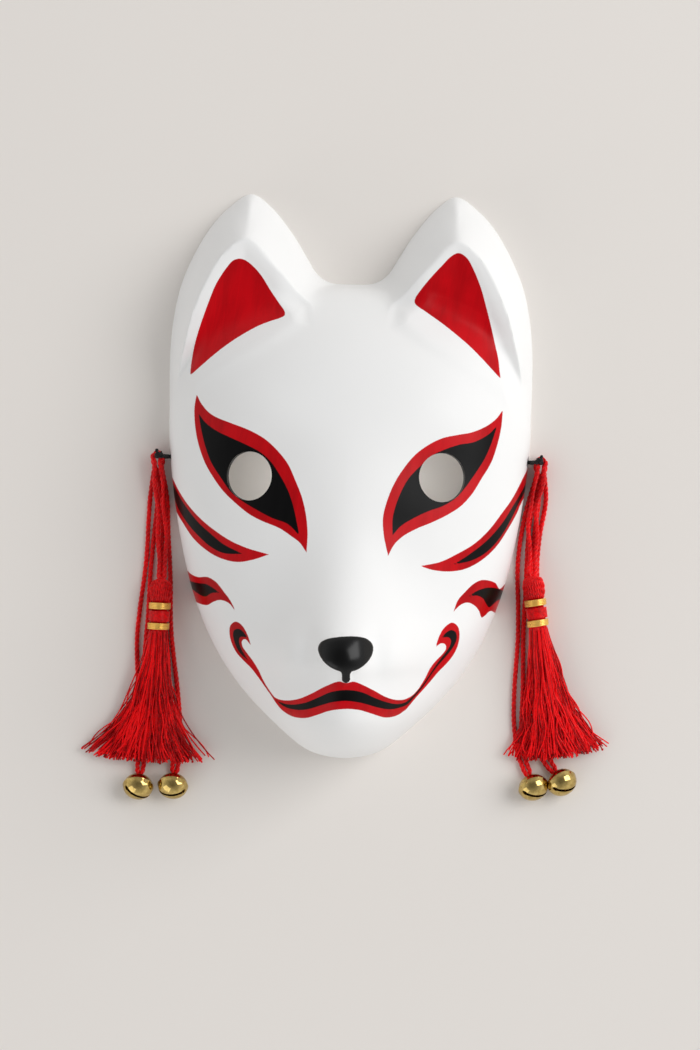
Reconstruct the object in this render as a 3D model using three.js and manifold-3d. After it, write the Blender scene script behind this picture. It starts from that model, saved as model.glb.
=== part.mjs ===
// Kitsune mask: a moulded fox face with two ears, hung on each side with a tassel and two bells.
// It lies on its rim with the face up. Millimetres; +Z out of the face, +Y to the ears, +X to the viewer's right.
import * as THREE from 'three';
import { mergeVertices } from 'three/addons/utils/BufferGeometryUtils.js';
import Module from 'manifold-3d';

const wasm = await Module();
wasm.setup();

// The mask
const MASK_LENGTH = 258; // chin to ear tips
const MASK_WIDTH = 166.4;
const MASK_DEPTH = 89; // rim to nose tip
const WALL = 3;
const EYE_HOLE_DIAMETER = 21.8;
const EYE_TILT = 20; // degrees that an eye hole looks outwards

// The tie holes and the black ties
const TIE_HOLE_DIAMETER = 5.2;
const TIE_HOLE_HEIGHT = 6.2;
const TIE_CORD_DIAMETER = 2;
const TIE_REACH = 5.4; // from the mask's side to the middle of the loop's outer leg
const TIE_LOOP_HEIGHT = 10.6; // between the middles of its upper and lower legs
const TIE_KNOT_DIAMETER = 6.6; // inside the mask, too big for the hole
const TIE_END_KNOT_DIAMETER = 3.4;

// The red cords, laid double: two strands side by side
const CORD_WIDTH = 4.6;
const CORD_THICKNESS = 2.3;
const CORD_STEP = 9.2;
const LOOP_GAP = 0.7; // between the end of a loop and the tassel's head

// The tassels
const HEAD_DIAMETER = 10.4;
const HEAD_LENGTH = 9.6;
const NECK_DIAMETER = 8;
const BAND_THICKNESS = 0.55;
const BAND_FIT = 0.3; // round the neck
const GOLD_BAND_LENGTH = 3.6;
const RED_BAND_LENGTH = 5;
const SKIRT_LENGTH = 62;
const SKIRT_THICKNESS = 6.4;
const SKIRT_START = 0.4; // that the skirt is wider than the neck

// The bells
const BELL_DIAMETER = 13.8;
const BELL_HEIGHT = 11;
const BELL_WALL = 0.8;
const BELL_SLOT = 1.4;
const BELL_SLOT_LENGTH = 11;
const BELL_EYE_DIAMETER = 3.4;
const BELL_EYE_WIRE = 0.6;
const BELL_TILT = 43; // degrees that the slot is turned up from the floor

// Room between pieces that touch
const CLEARANCE = 0.35;

// Fineness of the facets
const RIM_STEPS = 2; // between two points of the head's outline
const FACE_RINGS = 13;
const INNER_RINGS = 8;
const EAR_STEPS = 2;
const CORD_SIDES = 8;
const BELL_SIDES = 10;

const HALF_LENGTH = MASK_LENGTH / 2;
const HALF_WIDTH = MASK_WIDTH / 2;

// Half of the head's outline from the chin up, as shares of the half width and half length.
const HEAD_SIDE = [
  [0, -1], [0.19, -0.977], [0.385, -0.88], [0.595, -0.74], [0.745, -0.589], [0.86, -0.403],
  [0.946, -0.155], [0.99, 0.062], [0.998, 0.2], [0.99, 0.31], [0.953, 0.405], [0.868, 0.49],
  [0.73, 0.563], [0.54, 0.623], [0.33, 0.66], [0.16, 0.677], [0, 0.683],
];
// The profile down the middle: place along the half length, height as a share of the depth.
const PROFILE = [
  [-1, 0], [-0.99, 0.27], [-0.955, 0.53], [-0.9, 0.72], [-0.84, 0.84], [-0.775, 0.9], [-0.7, 0.945],
  [-0.645, 0.995], [-0.6, 0.998], [-0.545, 0.965], [-0.46, 0.875], [-0.34, 0.77], [-0.2, 0.705],
  [-0.03, 0.675], [0.155, 0.645], [0.35, 0.57], [0.45, 0.5], [0.545, 0.39], [0.612, 0.28],
  [0.655, 0.16], [0.683, 0],
];
// The muzzle: how much of the height it makes, and its half widths.
const MUZZLE_SHARE = 0.32;
const MUZZLE_PLACE = -0.64;
const MUZZLE_UP = 0.36;
const MUZZLE_DOWN = 0.22;
const BRIDGE_WIDTH = 0.19;
const MUZZLE_WIDTH = 0.375;
const MUZZLE_WIDEN_FROM = -0.05;
const MUZZLE_WIDEN_TO = -0.66;
const FACE_MIDDLE = -0.5; // where the rings of facets start

// Low forms of the face: across, along, reach across, reach along, height as a share of the depth.
const LOW_FORMS = [
  [0.27, -0.64, 0.1, 0.085, 0.025], // pads beside the nose
  [0.19, -0.585, 0.045, 0.075, -0.018], // furrows between nose and pads
  [0.46, 0.02, 0.24, 0.13, -0.03], // eye sockets
  [0.5, 0.22, 0.26, 0.09, 0.014], // brows
];

// An ear from its outer end round its tip to its inner end. Rim: across and along. Ridge round its
// front: across, along, and height as a share of the depth.
const EAR_RIM = [
  [0.95, 0.17], [0.99, 0.27], [1.002, 0.37], [0.999, 0.46], [0.985, 0.555], [0.95, 0.665],
  [0.893, 0.76], [0.79, 0.878], [0.567, 1], [0.425, 0.934], [0.325, 0.851], [0.255, 0.778],
  [0.19, 0.715], [0.12, 0.682],
];
const EAR_RIDGE = [
  [0.9, 0.17, 0.08], [0.938, 0.29, 0.16], [0.925, 0.385, 0.23], [0.897, 0.46, 0.285],
  [0.859, 0.552, 0.32], [0.819, 0.62, 0.335], [0.775, 0.681, 0.34], [0.703, 0.757, 0.345],
  [0.581, 0.818, 0.345], [0.519, 0.798, 0.345], [0.43, 0.734, 0.34], [0.353, 0.684, 0.34],
  [0.3, 0.643, 0.32], [0.215, 0.595, 0.27],
];
// Where an ear closes, out of sight under the crown.
const EAR_BACK = [
  [0.18, 0.5, 0.28], [0.36, 0.41, 0.3], [0.56, 0.33, 0.29], [0.76, 0.25, 0.22],
];
const EAR_MIDDLE = [0.6, 0.56, 0.305];
const EAR_HOLLOW_SHARE = 0.24; // of the way from the ridge to the middle
const EAR_HOLLOW_DEPTH = 0.045; // of the mask's depth, behind the ridge
const BEVEL_PLACE = 0.5; // where the bevel's swell is greatest
const BEVEL_POWER = 0.8; // a bevel that swells a little

const EYE_ACROSS = 0.51;
const EYE_ALONG = -0.006;
const TIE_ALONG = 0.058;

const COLOURS = {
  mask: { color: 0xf4f2f0, roughness: 0.45, metalness: 0 },
  tie: { color: 0x141414, roughness: 0.7, metalness: 0 },
  silk: { color: 0xb8101c, roughness: 0.6, metalness: 0 },
  gold: { color: 0xd0a038, roughness: 0.35, metalness: 0.9 },
  brass: { color: 0xc9a84a, roughness: 0.2, metalness: 1 },
};

// Routes of the cords and the middle lines of the tassels on the viewer's left and right, measured
// outwards and along from the tie, with the height above the floor.
const SIDES = {
  left: {
    sign: -1,
    outerBellCord: [
      [5.4, -1.7, 3.3], [6, -7.5, 2.1], [7.1, -17.5, 1.25], [7.9, -29.5, 1.2], [8.9, -45.5, 1.2],
      [10, -59.5, 1.2], [11.1, -73.5, 1.2], [12, -87.5, 1.2], [11.8, -107.5, 1.2],
      [11, -125.5, 1.2], [11, -138, 1.4], [11.4, -144.7, 2],
    ],
    innerBellCord: [
      [5.4, -1.7, 6], [4.5, -7.5, 5.1], [2.5, -17.5, 2.9], [1.9, -25.5, 1.4], [1.7, -37.5, 1.2],
      [1.1, -55.5, 1.2], [0.1, -73.5, 1.2], [-1.9, -92.5, 1.2], [-3.9, -112.5, 1.2],
      [-5.1, -127.5, 1.2], [-5, -138, 1.4], [-4.6, -144.1, 2],
    ],
    tasselLoop: [
      [5.4, -1.7, 8.7], [5, -7.5, 8.1], [4.2, -17.5, 5.9], [3.4, -27.5, 4.3], [2.9, -37.5, 4.1],
      [2.6, -47.5, 5.2], [2.5, -55.8, 7.9],
    ],
    skirtEnd: [6.6, -140],
    skirtWidth: 51,
  },
  right: {
    sign: 1,
    outerBellCord: [
      [5.4, -1.7, 3.3], [6, -7.5, 2.1], [6.6, -17.5, 1.25], [4.7, -31.5, 1.2], [3.4, -47.5, 1.2],
      [3.5, -63.5, 1.2], [5, -82.5, 1.2], [7, -102.5, 1.2], [7.6, -119.5, 1.2],
      [8.6, -131, 1.2], [10.6, -136.3, 1.4], [13.6, -140.4, 2],
    ],
    innerBellCord: [
      [5.4, -1.7, 6], [4.5, -7.5, 5.1], [1.6, -17.5, 2.9], [-0.4, -27.5, 1.4], [-2, -44.5, 1.2],
      [-2.1, -63.5, 1.2], [-2.3, -82.5, 1.2], [-2.7, -102.5, 1.2], [-2.9, -119.5, 1.2],
      [-1.9, -130.5, 1.2], [-0.3, -136.5, 1.4], [2, -142.1, 2],
    ],
    tasselLoop: [
      [5.4, -1.7, 8.7], [5, -7.5, 8.1], [2.9, -17.5, 5.9], [2.1, -26.5, 4.4], [2.6, -34.5, 4.1],
      [2.5, -43.5, 5.2], [2.3, -51.4, 7.9],
    ],
    skirtEnd: [13.6, -136.5],
    skirtWidth: 47,
  },
};

// The widths of a tassel from its head's top to the skirt's end: place as a share of the head or of
// the skirt, and half width as a share of the head's or of the spread that the skirt gains.
const HEAD_FORM = [[0, 0.45], [0.12, 0.8], [0.4, 1], [0.75, 0.98], [1, 0.86]];
const SKIRT_FORM = [[0.06, 0.01], [0.2, 0.09], [0.38, 0.26], [0.6, 0.55], [0.82, 0.85], [1, 1]];

const across = (share) => share * HALF_WIDTH;
const along = (share) => share * HALF_LENGTH;
const radians = THREE.MathUtils.degToRad;

// A smooth line through points of a drawing, as [x, y] pairs.
function smoothLine(points, stepsBetween, closed) {
  const corners = points.map(([x, y]) => new THREE.Vector3(x, y, 0));
  const curve = new THREE.CatmullRomCurve3(corners, closed, 'centripetal');
  const spans = closed ? points.length : points.length - 1;
  return curve.getPoints(spans * stepsBetween).map((p) => [p.x, p.y]);
}

function drawn(points) {
  return points.map(([x, y]) => [across(x), along(y)]);
}

function mirrored(points) {
  return points.map(([x, y]) => [-x, y]);
}

// The value at a place of a list of [place, value] pairs with rising places.
function valueAt(pairs, place) {
  if (place <= pairs[0][0]) return pairs[0][1];
  for (let i = 1; i < pairs.length; i += 1) {
    const [a, low] = pairs[i - 1];
    const [b, high] = pairs[i];
    if (place <= b) return low + ((high - low) * (place - a)) / (b - a);
  }
  return pairs[pairs.length - 1][1];
}

const FINE = 24;
const headSide = drawn(HEAD_SIDE);
const headOutline = [...headSide, ...mirrored(headSide.slice(1, -1)).reverse()];
const headWidths = smoothLine(headSide, FINE, false).map(([x, y]) => [y, Math.max(x, 0)]);
const profileHeights = smoothLine(PROFILE.map(([y, z]) => [along(y), z * MASK_DEPTH]), FINE, false);

const bellShape = (t) => Math.exp(-t * t);

function muzzleShare(y) {
  const from = y - along(MUZZLE_PLACE);
  const reach = from > 0 ? along(MUZZLE_UP) : along(MUZZLE_DOWN);
  return MUZZLE_SHARE * bellShape(from / reach);
}

function muzzleWidth(y) {
  const share = THREE.MathUtils.smoothstep(-y, -along(MUZZLE_WIDEN_FROM), -along(MUZZLE_WIDEN_TO));
  return across(THREE.MathUtils.lerp(BRIDGE_WIDTH, MUZZLE_WIDTH, share));
}

function lowForms(x, y) {
  let height = 0;
  for (const [px, py, rx, ry, z] of LOW_FORMS) {
    const sideways = bellShape((Math.abs(x) - across(px)) / across(rx));
    height += z * MASK_DEPTH * sideways * bellShape((y - along(py)) / along(ry));
  }
  return height;
}

// Height of the head, without the ears.
function headHeight(x, y) {
  const share = Math.abs(x) / valueAt(headWidths, y);
  if (share >= 1) return 0;
  const round = Math.sqrt(1 - share * share);
  const muzzle = muzzleShare(y);
  const ridge = bellShape(x / muzzleWidth(y));
  const height = valueAt(profileHeights, y) * round * (1 - muzzle + muzzle * ridge);
  return height + lowForms(x, y) * round;
}

const middle = [0, along(FACE_MIDDLE)];

// The rings of the head from its outline to the middle.
function headRings(stepsBetween, ringCount) {
  const outline = smoothLine(headOutline, stepsBetween, true).slice(0, -1);
  const rings = [outline.map(([x, y]) => [x, y, 0])];
  for (let k = ringCount - 1; k > 0; k -= 1) {
    const share = Math.sin((Math.PI / 2) * (k / ringCount));
    rings.push(
      outline.map(([rimX, rimY]) => {
        const x = share * rimX;
        const y = middle[1] + share * (rimY - middle[1]);
        return [x, y, headHeight(x, y)];
      }),
    );
  }
  return rings;
}

// The loops of an ear: its rim, the swell of its bevel, its ridge and the edge of its hollow.
function earRings(sign) {
  const back = EAR_BACK.map(([x, y, z]) => [across(x), along(y), z * MASK_DEPTH]);
  const rim = smoothLine(drawn(EAR_RIM), EAR_STEPS, false);
  const ridgeCurve = new THREE.CatmullRomCurve3(
    EAR_RIDGE.map(([x, y, z]) => new THREE.Vector3(across(x), along(y), z * MASK_DEPTH)),
    false,
    'centripetal',
  );
  const ridge = ridgeCurve.getPoints(rim.length - 1).map((p) => p.toArray());
  const [middleX, middleY] = [across(EAR_MIDDLE[0]), along(EAR_MIDDLE[1])];
  const base = [...rim.map(([x, y]) => [x, y, 0]), ...back.map(([x, y]) => [x, y, 0])];
  const swell = rim.map(([x, y], i) => [
    THREE.MathUtils.lerp(x, ridge[i][0], BEVEL_PLACE),
    THREE.MathUtils.lerp(y, ridge[i][1], BEVEL_PLACE),
    ridge[i][2] * BEVEL_PLACE ** BEVEL_POWER,
  ]);
  swell.push(...back.map(([x, y, z]) => [x, y, z * BEVEL_PLACE]));
  const edge = [...ridge, ...back];
  const hollow = edge.map(([x, y, z]) => [
    THREE.MathUtils.lerp(x, middleX, EAR_HOLLOW_SHARE),
    THREE.MathUtils.lerp(y, middleY, EAR_HOLLOW_SHARE),
    z - EAR_HOLLOW_DEPTH * MASK_DEPTH,
  ]);
  const rings = [base, swell, edge, hollow];
  if (sign > 0) return rings;
  return rings.map((ring) => ring.map(([x, y, z]) => [-x, y, z]).reverse());
}

function meshOf(points, triangles) {
  const geometry = new THREE.BufferGeometry();
  geometry.setAttribute('position', new THREE.Float32BufferAttribute(points.flat(), 3));
  geometry.setIndex(triangles.flat());
  return geometry;
}

// Triangles between two rings of equally many points.
function band(first, second, count) {
  const triangles = [];
  for (let i = 0; i < count; i += 1) {
    const j = (i + 1) % count;
    triangles.push([first + i, first + j, second + j], [first + i, second + j, second + i]);
  }
  return triangles;
}

function fan(tip, ring, count) {
  const triangles = [];
  for (let i = 0; i < count; i += 1) {
    triangles.push([tip, ring + i, ring + ((i + 1) % count)]);
  }
  return triangles;
}

// Rings of points closed with a point at either end.
function loft(rings, firstTip, lastTip) {
  const count = rings[0].length;
  const points = rings.flat();
  const triangles = [];
  for (let k = 0; k + 1 < rings.length; k += 1) {
    triangles.push(...band(k * count, (k + 1) * count, count));
  }
  points.push(firstTip, lastTip);
  const start = fan(rings.length * count, 0, count).map(([a, b, c]) => [a, c, b]);
  triangles.push(...start, ...fan(rings.length * count + 1, (rings.length - 1) * count, count));
  return meshOf(points, triangles);
}

// The same rings a wall's thickness inside, and closed below the rim.
function drawnIn(rings, tip) {
  const open = loft(rings, tip, tip);
  const place = open.attributes.position;
  const index = open.index.array;
  const sums = Array.from({ length: place.count }, () => new THREE.Vector3());
  const faces = Array.from({ length: place.count }, () => []);
  const startOfTips = rings.flat().length;
  for (let i = 0; i < index.length; i += 3) {
    const corners = [index[i], index[i + 1], index[i + 2]];
    if (!corners.includes(startOfTips)) {
      const triangle = new THREE.Triangle(...corners.map((c) => new THREE.Vector3().fromBufferAttribute(place, c)));
      const normal = triangle.getNormal(new THREE.Vector3());
      corners.forEach((c) => {
        sums[c].addScaledVector(normal, triangle.getArea());
        faces[c].push(normal);
      });
    }
  }
  const moved = (c) => {
    const normal = sums[c].clone().normalize();
    const facing = faces[c].reduce((total, face) => total + normal.dot(face), 0) / faces[c].length;
    const point = new THREE.Vector3().fromBufferAttribute(place, c);
    return point.addScaledVector(normal, -WALL / facing).toArray();
  };
  const count = rings[0].length;
  const inner = rings.map((ring, k) => ring.map((_, i) => moved(k * count + i)));
  const below = inner[0].map(([x, y]) => [x, y, -2 * WALL]);
  return { rings: [below, ...inner], tip: moved(startOfTips + 1) };
}

function ringSolid(rings, tip) {
  const [x, y] = tip;
  return toSolid(loft(rings, [x, y, rings[0][0][2]], tip));
}

function toSolid(geometry) {
  const bare = geometry.clone();
  bare.deleteAttribute('normal');
  bare.deleteAttribute('uv');
  const merged = mergeVertices(bare, 1e-4);
  return new wasm.Manifold(
    new wasm.Mesh({
      numProp: 3,
      vertProperties: Float32Array.from(merged.attributes.position.array),
      triVerts: Uint32Array.from(merged.index.array),
    }),
  );
}

function toGeometry(solid) {
  const { vertProperties, triVerts } = solid.getMesh();
  const geometry = new THREE.BufferGeometry();
  geometry.setAttribute('position', new THREE.BufferAttribute(Float32Array.from(vertProperties), 3));
  geometry.setIndex(new THREE.BufferAttribute(Uint32Array.from(triVerts), 1));
  return geometry;
}

function named(name, geometry, finish) {
  const mesh = new THREE.Mesh(geometry, new THREE.MeshStandardMaterial(COLOURS[finish]));
  mesh.name = name;
  return mesh;
}

// A round pin along X, which the holes are cut with.
function pinAlongX(diameter, length, sides) {
  return new THREE.CylinderGeometry(diameter / 2, diameter / 2, length, sides).rotateZ(Math.PI / 2);
}

function maskShell() {
  const faceTip = [...middle, headHeight(...middle)];
  let outside = ringSolid(headRings(RIM_STEPS, FACE_RINGS), faceTip);
  const hollow = drawnIn(headRings(1, INNER_RINGS), faceTip);
  let inside = ringSolid(hollow.rings, hollow.tip);
  for (const sign of [-1, 1]) {
    const rings = earRings(sign);
    const [x, y, z] = EAR_MIDDLE;
    const earTip = [sign * across(x), along(y), z * MASK_DEPTH];
    outside = outside.add(ringSolid(rings, earTip));
    const earHollow = drawnIn(rings, earTip);
    inside = inside.add(ringSolid(earHollow.rings, earHollow.tip));
  }
  let shell = outside.subtract(inside);
  for (const sign of [-1, 1]) {
    const [x, y] = [sign * across(EYE_ACROSS), along(EYE_ALONG)];
    const eye = new THREE.CylinderGeometry(EYE_HOLE_DIAMETER / 2, EYE_HOLE_DIAMETER / 2, MASK_DEPTH / 2, 24);
    eye.rotateX(Math.PI / 2).rotateY(sign * radians(EYE_TILT)).translate(x, y, headHeight(x, y));
    const tieHole = pinAlongX(TIE_HOLE_DIAMETER, 6 * WALL, 12);
    tieHole.translate(sign * tieSide, tieAlong, TIE_HOLE_HEIGHT);
    shell = shell.subtract(toSolid(eye)).subtract(toSolid(tieHole));
  }
  const bodies = shell.decompose().sort((a, b) => b.volume() - a.volume());
  return named('mask_shell', toGeometry(bodies[0]), 'mask'); // without the slivers that cutting leaves
}

const tieAlong = along(TIE_ALONG);
const tieSide = valueAt(headWidths, tieAlong);

// A tube of round section along points.
function roundTube(points, diameter, steps, sides, closed = false) {
  const path = new THREE.CatmullRomCurve3(points.map((p) => new THREE.Vector3(...p)), closed, 'centripetal');
  const section = new THREE.Shape();
  section.absarc(0, 0, diameter / 2, 0, 2 * Math.PI);
  return new THREE.ExtrudeGeometry(section, { extrudePath: path, steps, curveSegments: sides / 2 });
}

// The black tie: a cord knotted inside the mask, through the hole and round in a small upright loop.
function blackTie(side, sign) {
  const r = TIE_CORD_DIAMETER / 2;
  const foot = r + CLEARANCE / 2;
  const head = foot + TIE_LOOP_HEIGHT;
  const out = tieSide + TIE_REACH;
  const low = TIE_HOLE_HEIGHT - 0.9 * r;
  const high = TIE_HOLE_HEIGHT + 0.9 * r;
  const wallIn = tieSide - WALL;
  const loop = [
    [wallIn - r, low], [tieSide - r, low], [tieSide + r, low - r], [out - 3 * r, foot], [out - r, foot],
    [out, foot + r], [out, head - r], [out - r, head], [out - 3 * r, head], [tieSide + r, high + r],
    [tieSide - r, high], [wallIn - r, high],
  ].map(([x, z]) => [sign * x, tieAlong, z]);
  const knot = new THREE.SphereGeometry(TIE_KNOT_DIAMETER / 2, 8, 5);
  knot.translate(sign * (wallIn - CLEARANCE - TIE_KNOT_DIAMETER / 2), tieAlong, TIE_HOLE_HEIGHT);
  const endKnot = new THREE.SphereGeometry(TIE_END_KNOT_DIAMETER / 2, 7, 5);
  endKnot.translate(sign * (out - r), tieAlong + r, head + r);
  const cutEnd = roundTube(
    [[out - r, tieAlong + r, head + r], [out, tieAlong + 4 * r, head]].map(([x, y, z]) => [sign * x, y, z]),
    TIE_CORD_DIAMETER,
    1,
    8,
  );
  let tie = toSolid(roundTube(loop, TIE_CORD_DIAMETER, 15, 8));
  for (const part of [knot, endKnot, cutEnd]) {
    tie = tie.add(toSolid(part));
  }
  return named(`${side}_black_tie`, toGeometry(tie), 'tie');
}

// A route whose flat cord keeps its broad side level.
class LevelRoute extends THREE.CatmullRomCurve3 {
  computeFrenetFrames(segments) {
    const up = new THREE.Vector3(0, 0, 1);
    const frames = { tangents: [], normals: [], binormals: [] };
    for (let i = 0; i <= segments; i += 1) {
      const tangent = this.getTangentAt(i / segments);
      const normal = new THREE.Vector3().crossVectors(tangent, up).normalize();
      frames.tangents.push(tangent);
      frames.normals.push(normal);
      frames.binormals.push(new THREE.Vector3().crossVectors(tangent, normal));
    }
    return frames;
  }
}

function fromTie(sign, [x, y, z = 0]) {
  return new THREE.Vector3(sign * (tieSide + x), tieAlong + y, z);
}

function doubleCord(name, sign, route) {
  const path = new LevelRoute(route.map((p) => fromTie(sign, p)), false, 'centripetal');
  const section = new THREE.Shape();
  section.absellipse(0, 0, CORD_WIDTH / 2, CORD_THICKNESS / 2, 0, 2 * Math.PI);
  const steps = Math.round(path.getLength() / CORD_STEP);
  const geometry = new THREE.ExtrudeGeometry(section, {
    extrudePath: path,
    steps,
    curveSegments: CORD_SIDES / 2,
  });
  return named(name, geometry, 'silk');
}

// The middle line of a tassel, from its head's top to its skirt's end, level over the cords.
function tasselFrame(side) {
  const { sign, tasselLoop, skirtEnd } = SIDES[side];
  const loopEnd = fromTie(sign, tasselLoop[tasselLoop.length - 1]);
  const floor = CORD_THICKNESS + 2 * CLEARANCE;
  const end = fromTie(sign, skirtEnd);
  const direction = new THREE.Vector3(end.x - loopEnd.x, end.y - loopEnd.y, 0).normalize();
  const top = loopEnd.clone().addScaledVector(direction, LOOP_GAP).setZ(floor + HEAD_DIAMETER / 2);
  const sideways = new THREE.Vector3(-direction.y, direction.x, 0);
  return { top, direction, sideways, floor };
}

const neckLength = 2 * GOLD_BAND_LENGTH + RED_BAND_LENGTH + 4 * CLEARANCE;

// The bundle of threads: a wound head, a bound neck and a skirt spread on the floor.
function tassel(side) {
  const { top, direction, sideways, floor } = tasselFrame(side);
  const headRadius = HEAD_DIAMETER / 2;
  const neckRadius = NECK_DIAMETER / 2;
  const startRadius = neckRadius + SKIRT_START;
  const spread = SIDES[side].skirtWidth / 2 - neckRadius;
  const sections = HEAD_FORM.map(([s, w]) => [s * HEAD_LENGTH, w * headRadius, w * headRadius, top.z]);
  const neckStart = HEAD_LENGTH + CLEARANCE;
  sections.push([neckStart, neckRadius, neckRadius, top.z]);
  sections.push([neckStart + neckLength, neckRadius, neckRadius, top.z]);
  for (const [s, w] of SKIRT_FORM) {
    const thick = THREE.MathUtils.lerp(startRadius, SKIRT_THICKNESS / 2, s);
    sections.push([neckStart + neckLength + s * SKIRT_LENGTH, startRadius + w * spread, thick, floor + thick]);
  }
  const sides = 14;
  const rings = sections.map(([s, wide, thick, z]) => {
    const centre = top.clone().addScaledVector(direction, s).setZ(z);
    return Array.from({ length: sides }, (_, i) => {
      const angle = (2 * Math.PI * i) / sides;
      const point = centre.clone().addScaledVector(sideways, wide * Math.cos(angle));
      return [point.x, point.y, point.z + thick * Math.sin(angle)];
    });
  });
  const last = sections[sections.length - 1];
  const tip = top.clone().addScaledVector(direction, last[0]).setZ(last[3]);
  return named(`${side}_tassel`, loft(rings, top.toArray(), tip.toArray()), 'silk');
}

// A thread winding round the neck, as a ring.
function neckBand(side, name, start, length, finish) {
  const { top, direction } = tasselFrame(side);
  const inner = NECK_DIAMETER / 2 + BAND_FIT;
  const outer = inner + BAND_THICKNESS;
  const section = [[inner, 0], [outer, 0], [outer, length], [inner, length], [inner, 0]];
  const ring = new THREE.LatheGeometry(section.map(([x, y]) => new THREE.Vector2(x, y)), 12);
  const turn = new THREE.Quaternion().setFromUnitVectors(new THREE.Vector3(0, 1, 0), direction);
  ring.applyQuaternion(turn);
  const place = top.clone().addScaledVector(direction, HEAD_LENGTH + CLEARANCE + start);
  ring.translate(place.x, place.y, place.z);
  const geometry = mergeVertices(stripped(ring), 1e-4);
  return named(`${side}_${name}`, geometry, finish);
}

function stripped(geometry) {
  geometry.deleteAttribute('normal');
  geometry.deleteAttribute('uv');
  return geometry;
}

function neckBands(side) {
  const first = CLEARANCE;
  const second = first + GOLD_BAND_LENGTH + CLEARANCE;
  const third = second + RED_BAND_LENGTH + CLEARANCE;
  return [
    neckBand(side, 'upper_gold_band', first, GOLD_BAND_LENGTH, 'gold'),
    neckBand(side, 'red_binding', second, RED_BAND_LENGTH, 'silk'),
    neckBand(side, 'lower_gold_band', third, GOLD_BAND_LENGTH, 'gold'),
  ];
}

// An oblate ball turned about its own upright axis.
function ball(diameter, height, sides, rows) {
  const profile = [];
  for (let i = 0; i <= rows; i += 1) {
    const angle = Math.PI * (i / rows) - Math.PI / 2;
    const radius = i === 0 || i === rows ? 0 : (diameter / 2) * Math.cos(angle);
    profile.push(new THREE.Vector2(radius, (height / 2) * Math.sin(angle)));
  }
  return new THREE.LatheGeometry(profile, sides);
}

// A round bell with a slot across its underside and a wire eye on top, laid at the end of its cord.
function bellAt(name, sign, route) {
  const [before, end] = route.slice(-2).map((p) => fromTie(sign, p));
  const direction = new THREE.Vector3(end.x - before.x, end.y - before.y, 0).normalize();
  const half = BELL_HEIGHT / 2;
  const eyeRadius = BELL_EYE_DIAMETER / 2;
  const eyePlace = half + eyeRadius - BELL_EYE_WIRE;
  let body = toSolid(ball(BELL_DIAMETER, BELL_HEIGHT, BELL_SIDES, 5));
  body = body.subtract(toSolid(ball(BELL_DIAMETER - 2 * BELL_WALL, BELL_HEIGHT - 2 * BELL_WALL, 8, 4)));
  const slot = new THREE.BoxGeometry(BELL_SLOT_LENGTH, half, BELL_SLOT).translate(0, -half, 0);
  body = body.subtract(toSolid(slot));
  const eye = new THREE.TorusGeometry(eyeRadius - BELL_EYE_WIRE / 2, BELL_EYE_WIRE / 2, 5, 8);
  body = body.add(toSolid(eye.rotateY(Math.PI / 2).translate(0, eyePlace, 0)));
  const tilt = radians(BELL_TILT);
  const reach = eyePlace * Math.cos(tilt) + eyeRadius + CLEARANCE;
  const rest = Math.hypot((BELL_DIAMETER / 2) * Math.cos(tilt), half * Math.sin(tilt));
  const geometry = toGeometry(body);
  geometry.rotateX(-tilt).rotateZ(Math.atan2(direction.x, -direction.y));
  geometry.translate(end.x + reach * direction.x, end.y + reach * direction.y, rest);
  return named(name, geometry, 'brass');
}

const group = new THREE.Group();
group.add(maskShell());
for (const [side, { sign, outerBellCord, innerBellCord, tasselLoop }] of Object.entries(SIDES)) {
  group.add(blackTie(side, sign));
  group.add(doubleCord(`${side}_outer_bell_cord`, sign, outerBellCord));
  group.add(doubleCord(`${side}_inner_bell_cord`, sign, innerBellCord));
  group.add(doubleCord(`${side}_tassel_loop`, sign, tasselLoop));
  group.add(tassel(side));
  group.add(...neckBands(side));
  group.add(bellAt(`${side}_outer_bell`, sign, outerBellCord));
  group.add(bellAt(`${side}_inner_bell`, sign, innerBellCord));
}

export default group;
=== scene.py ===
# %% [markdown]
# # A fox mask with tassels and bells
# The mask is one thin moulded shell, painted white, red and black. It lies on its rim with the face
# up. At each side a black cord goes through a hole, and on it hang red cords, a tassel and two bells.
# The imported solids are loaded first. They give every place, so each piece is made where they are.

# %% Load the solids
import math
import bpy
import bmesh
import numpy as np
from mathutils import Matrix, Vector


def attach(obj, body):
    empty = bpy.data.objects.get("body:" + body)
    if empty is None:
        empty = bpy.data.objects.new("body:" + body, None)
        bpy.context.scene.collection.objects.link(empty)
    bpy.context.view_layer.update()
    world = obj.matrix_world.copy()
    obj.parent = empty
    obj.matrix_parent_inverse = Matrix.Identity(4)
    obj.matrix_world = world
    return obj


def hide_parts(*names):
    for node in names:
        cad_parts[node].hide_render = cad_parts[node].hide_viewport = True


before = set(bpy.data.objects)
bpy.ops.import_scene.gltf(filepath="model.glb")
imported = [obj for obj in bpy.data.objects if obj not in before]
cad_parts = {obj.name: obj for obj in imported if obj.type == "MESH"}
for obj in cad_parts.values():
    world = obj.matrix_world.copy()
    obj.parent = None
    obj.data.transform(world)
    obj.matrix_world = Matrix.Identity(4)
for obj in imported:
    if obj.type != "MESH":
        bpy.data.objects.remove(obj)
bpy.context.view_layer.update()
MM = 0.001

# %% [markdown]
# ## Sizes
# These are the sizes that the solids were made with, in metres. A value that two pieces share is
# written once, so that a cord still meets its tie and a band still sits on its neck.

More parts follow.
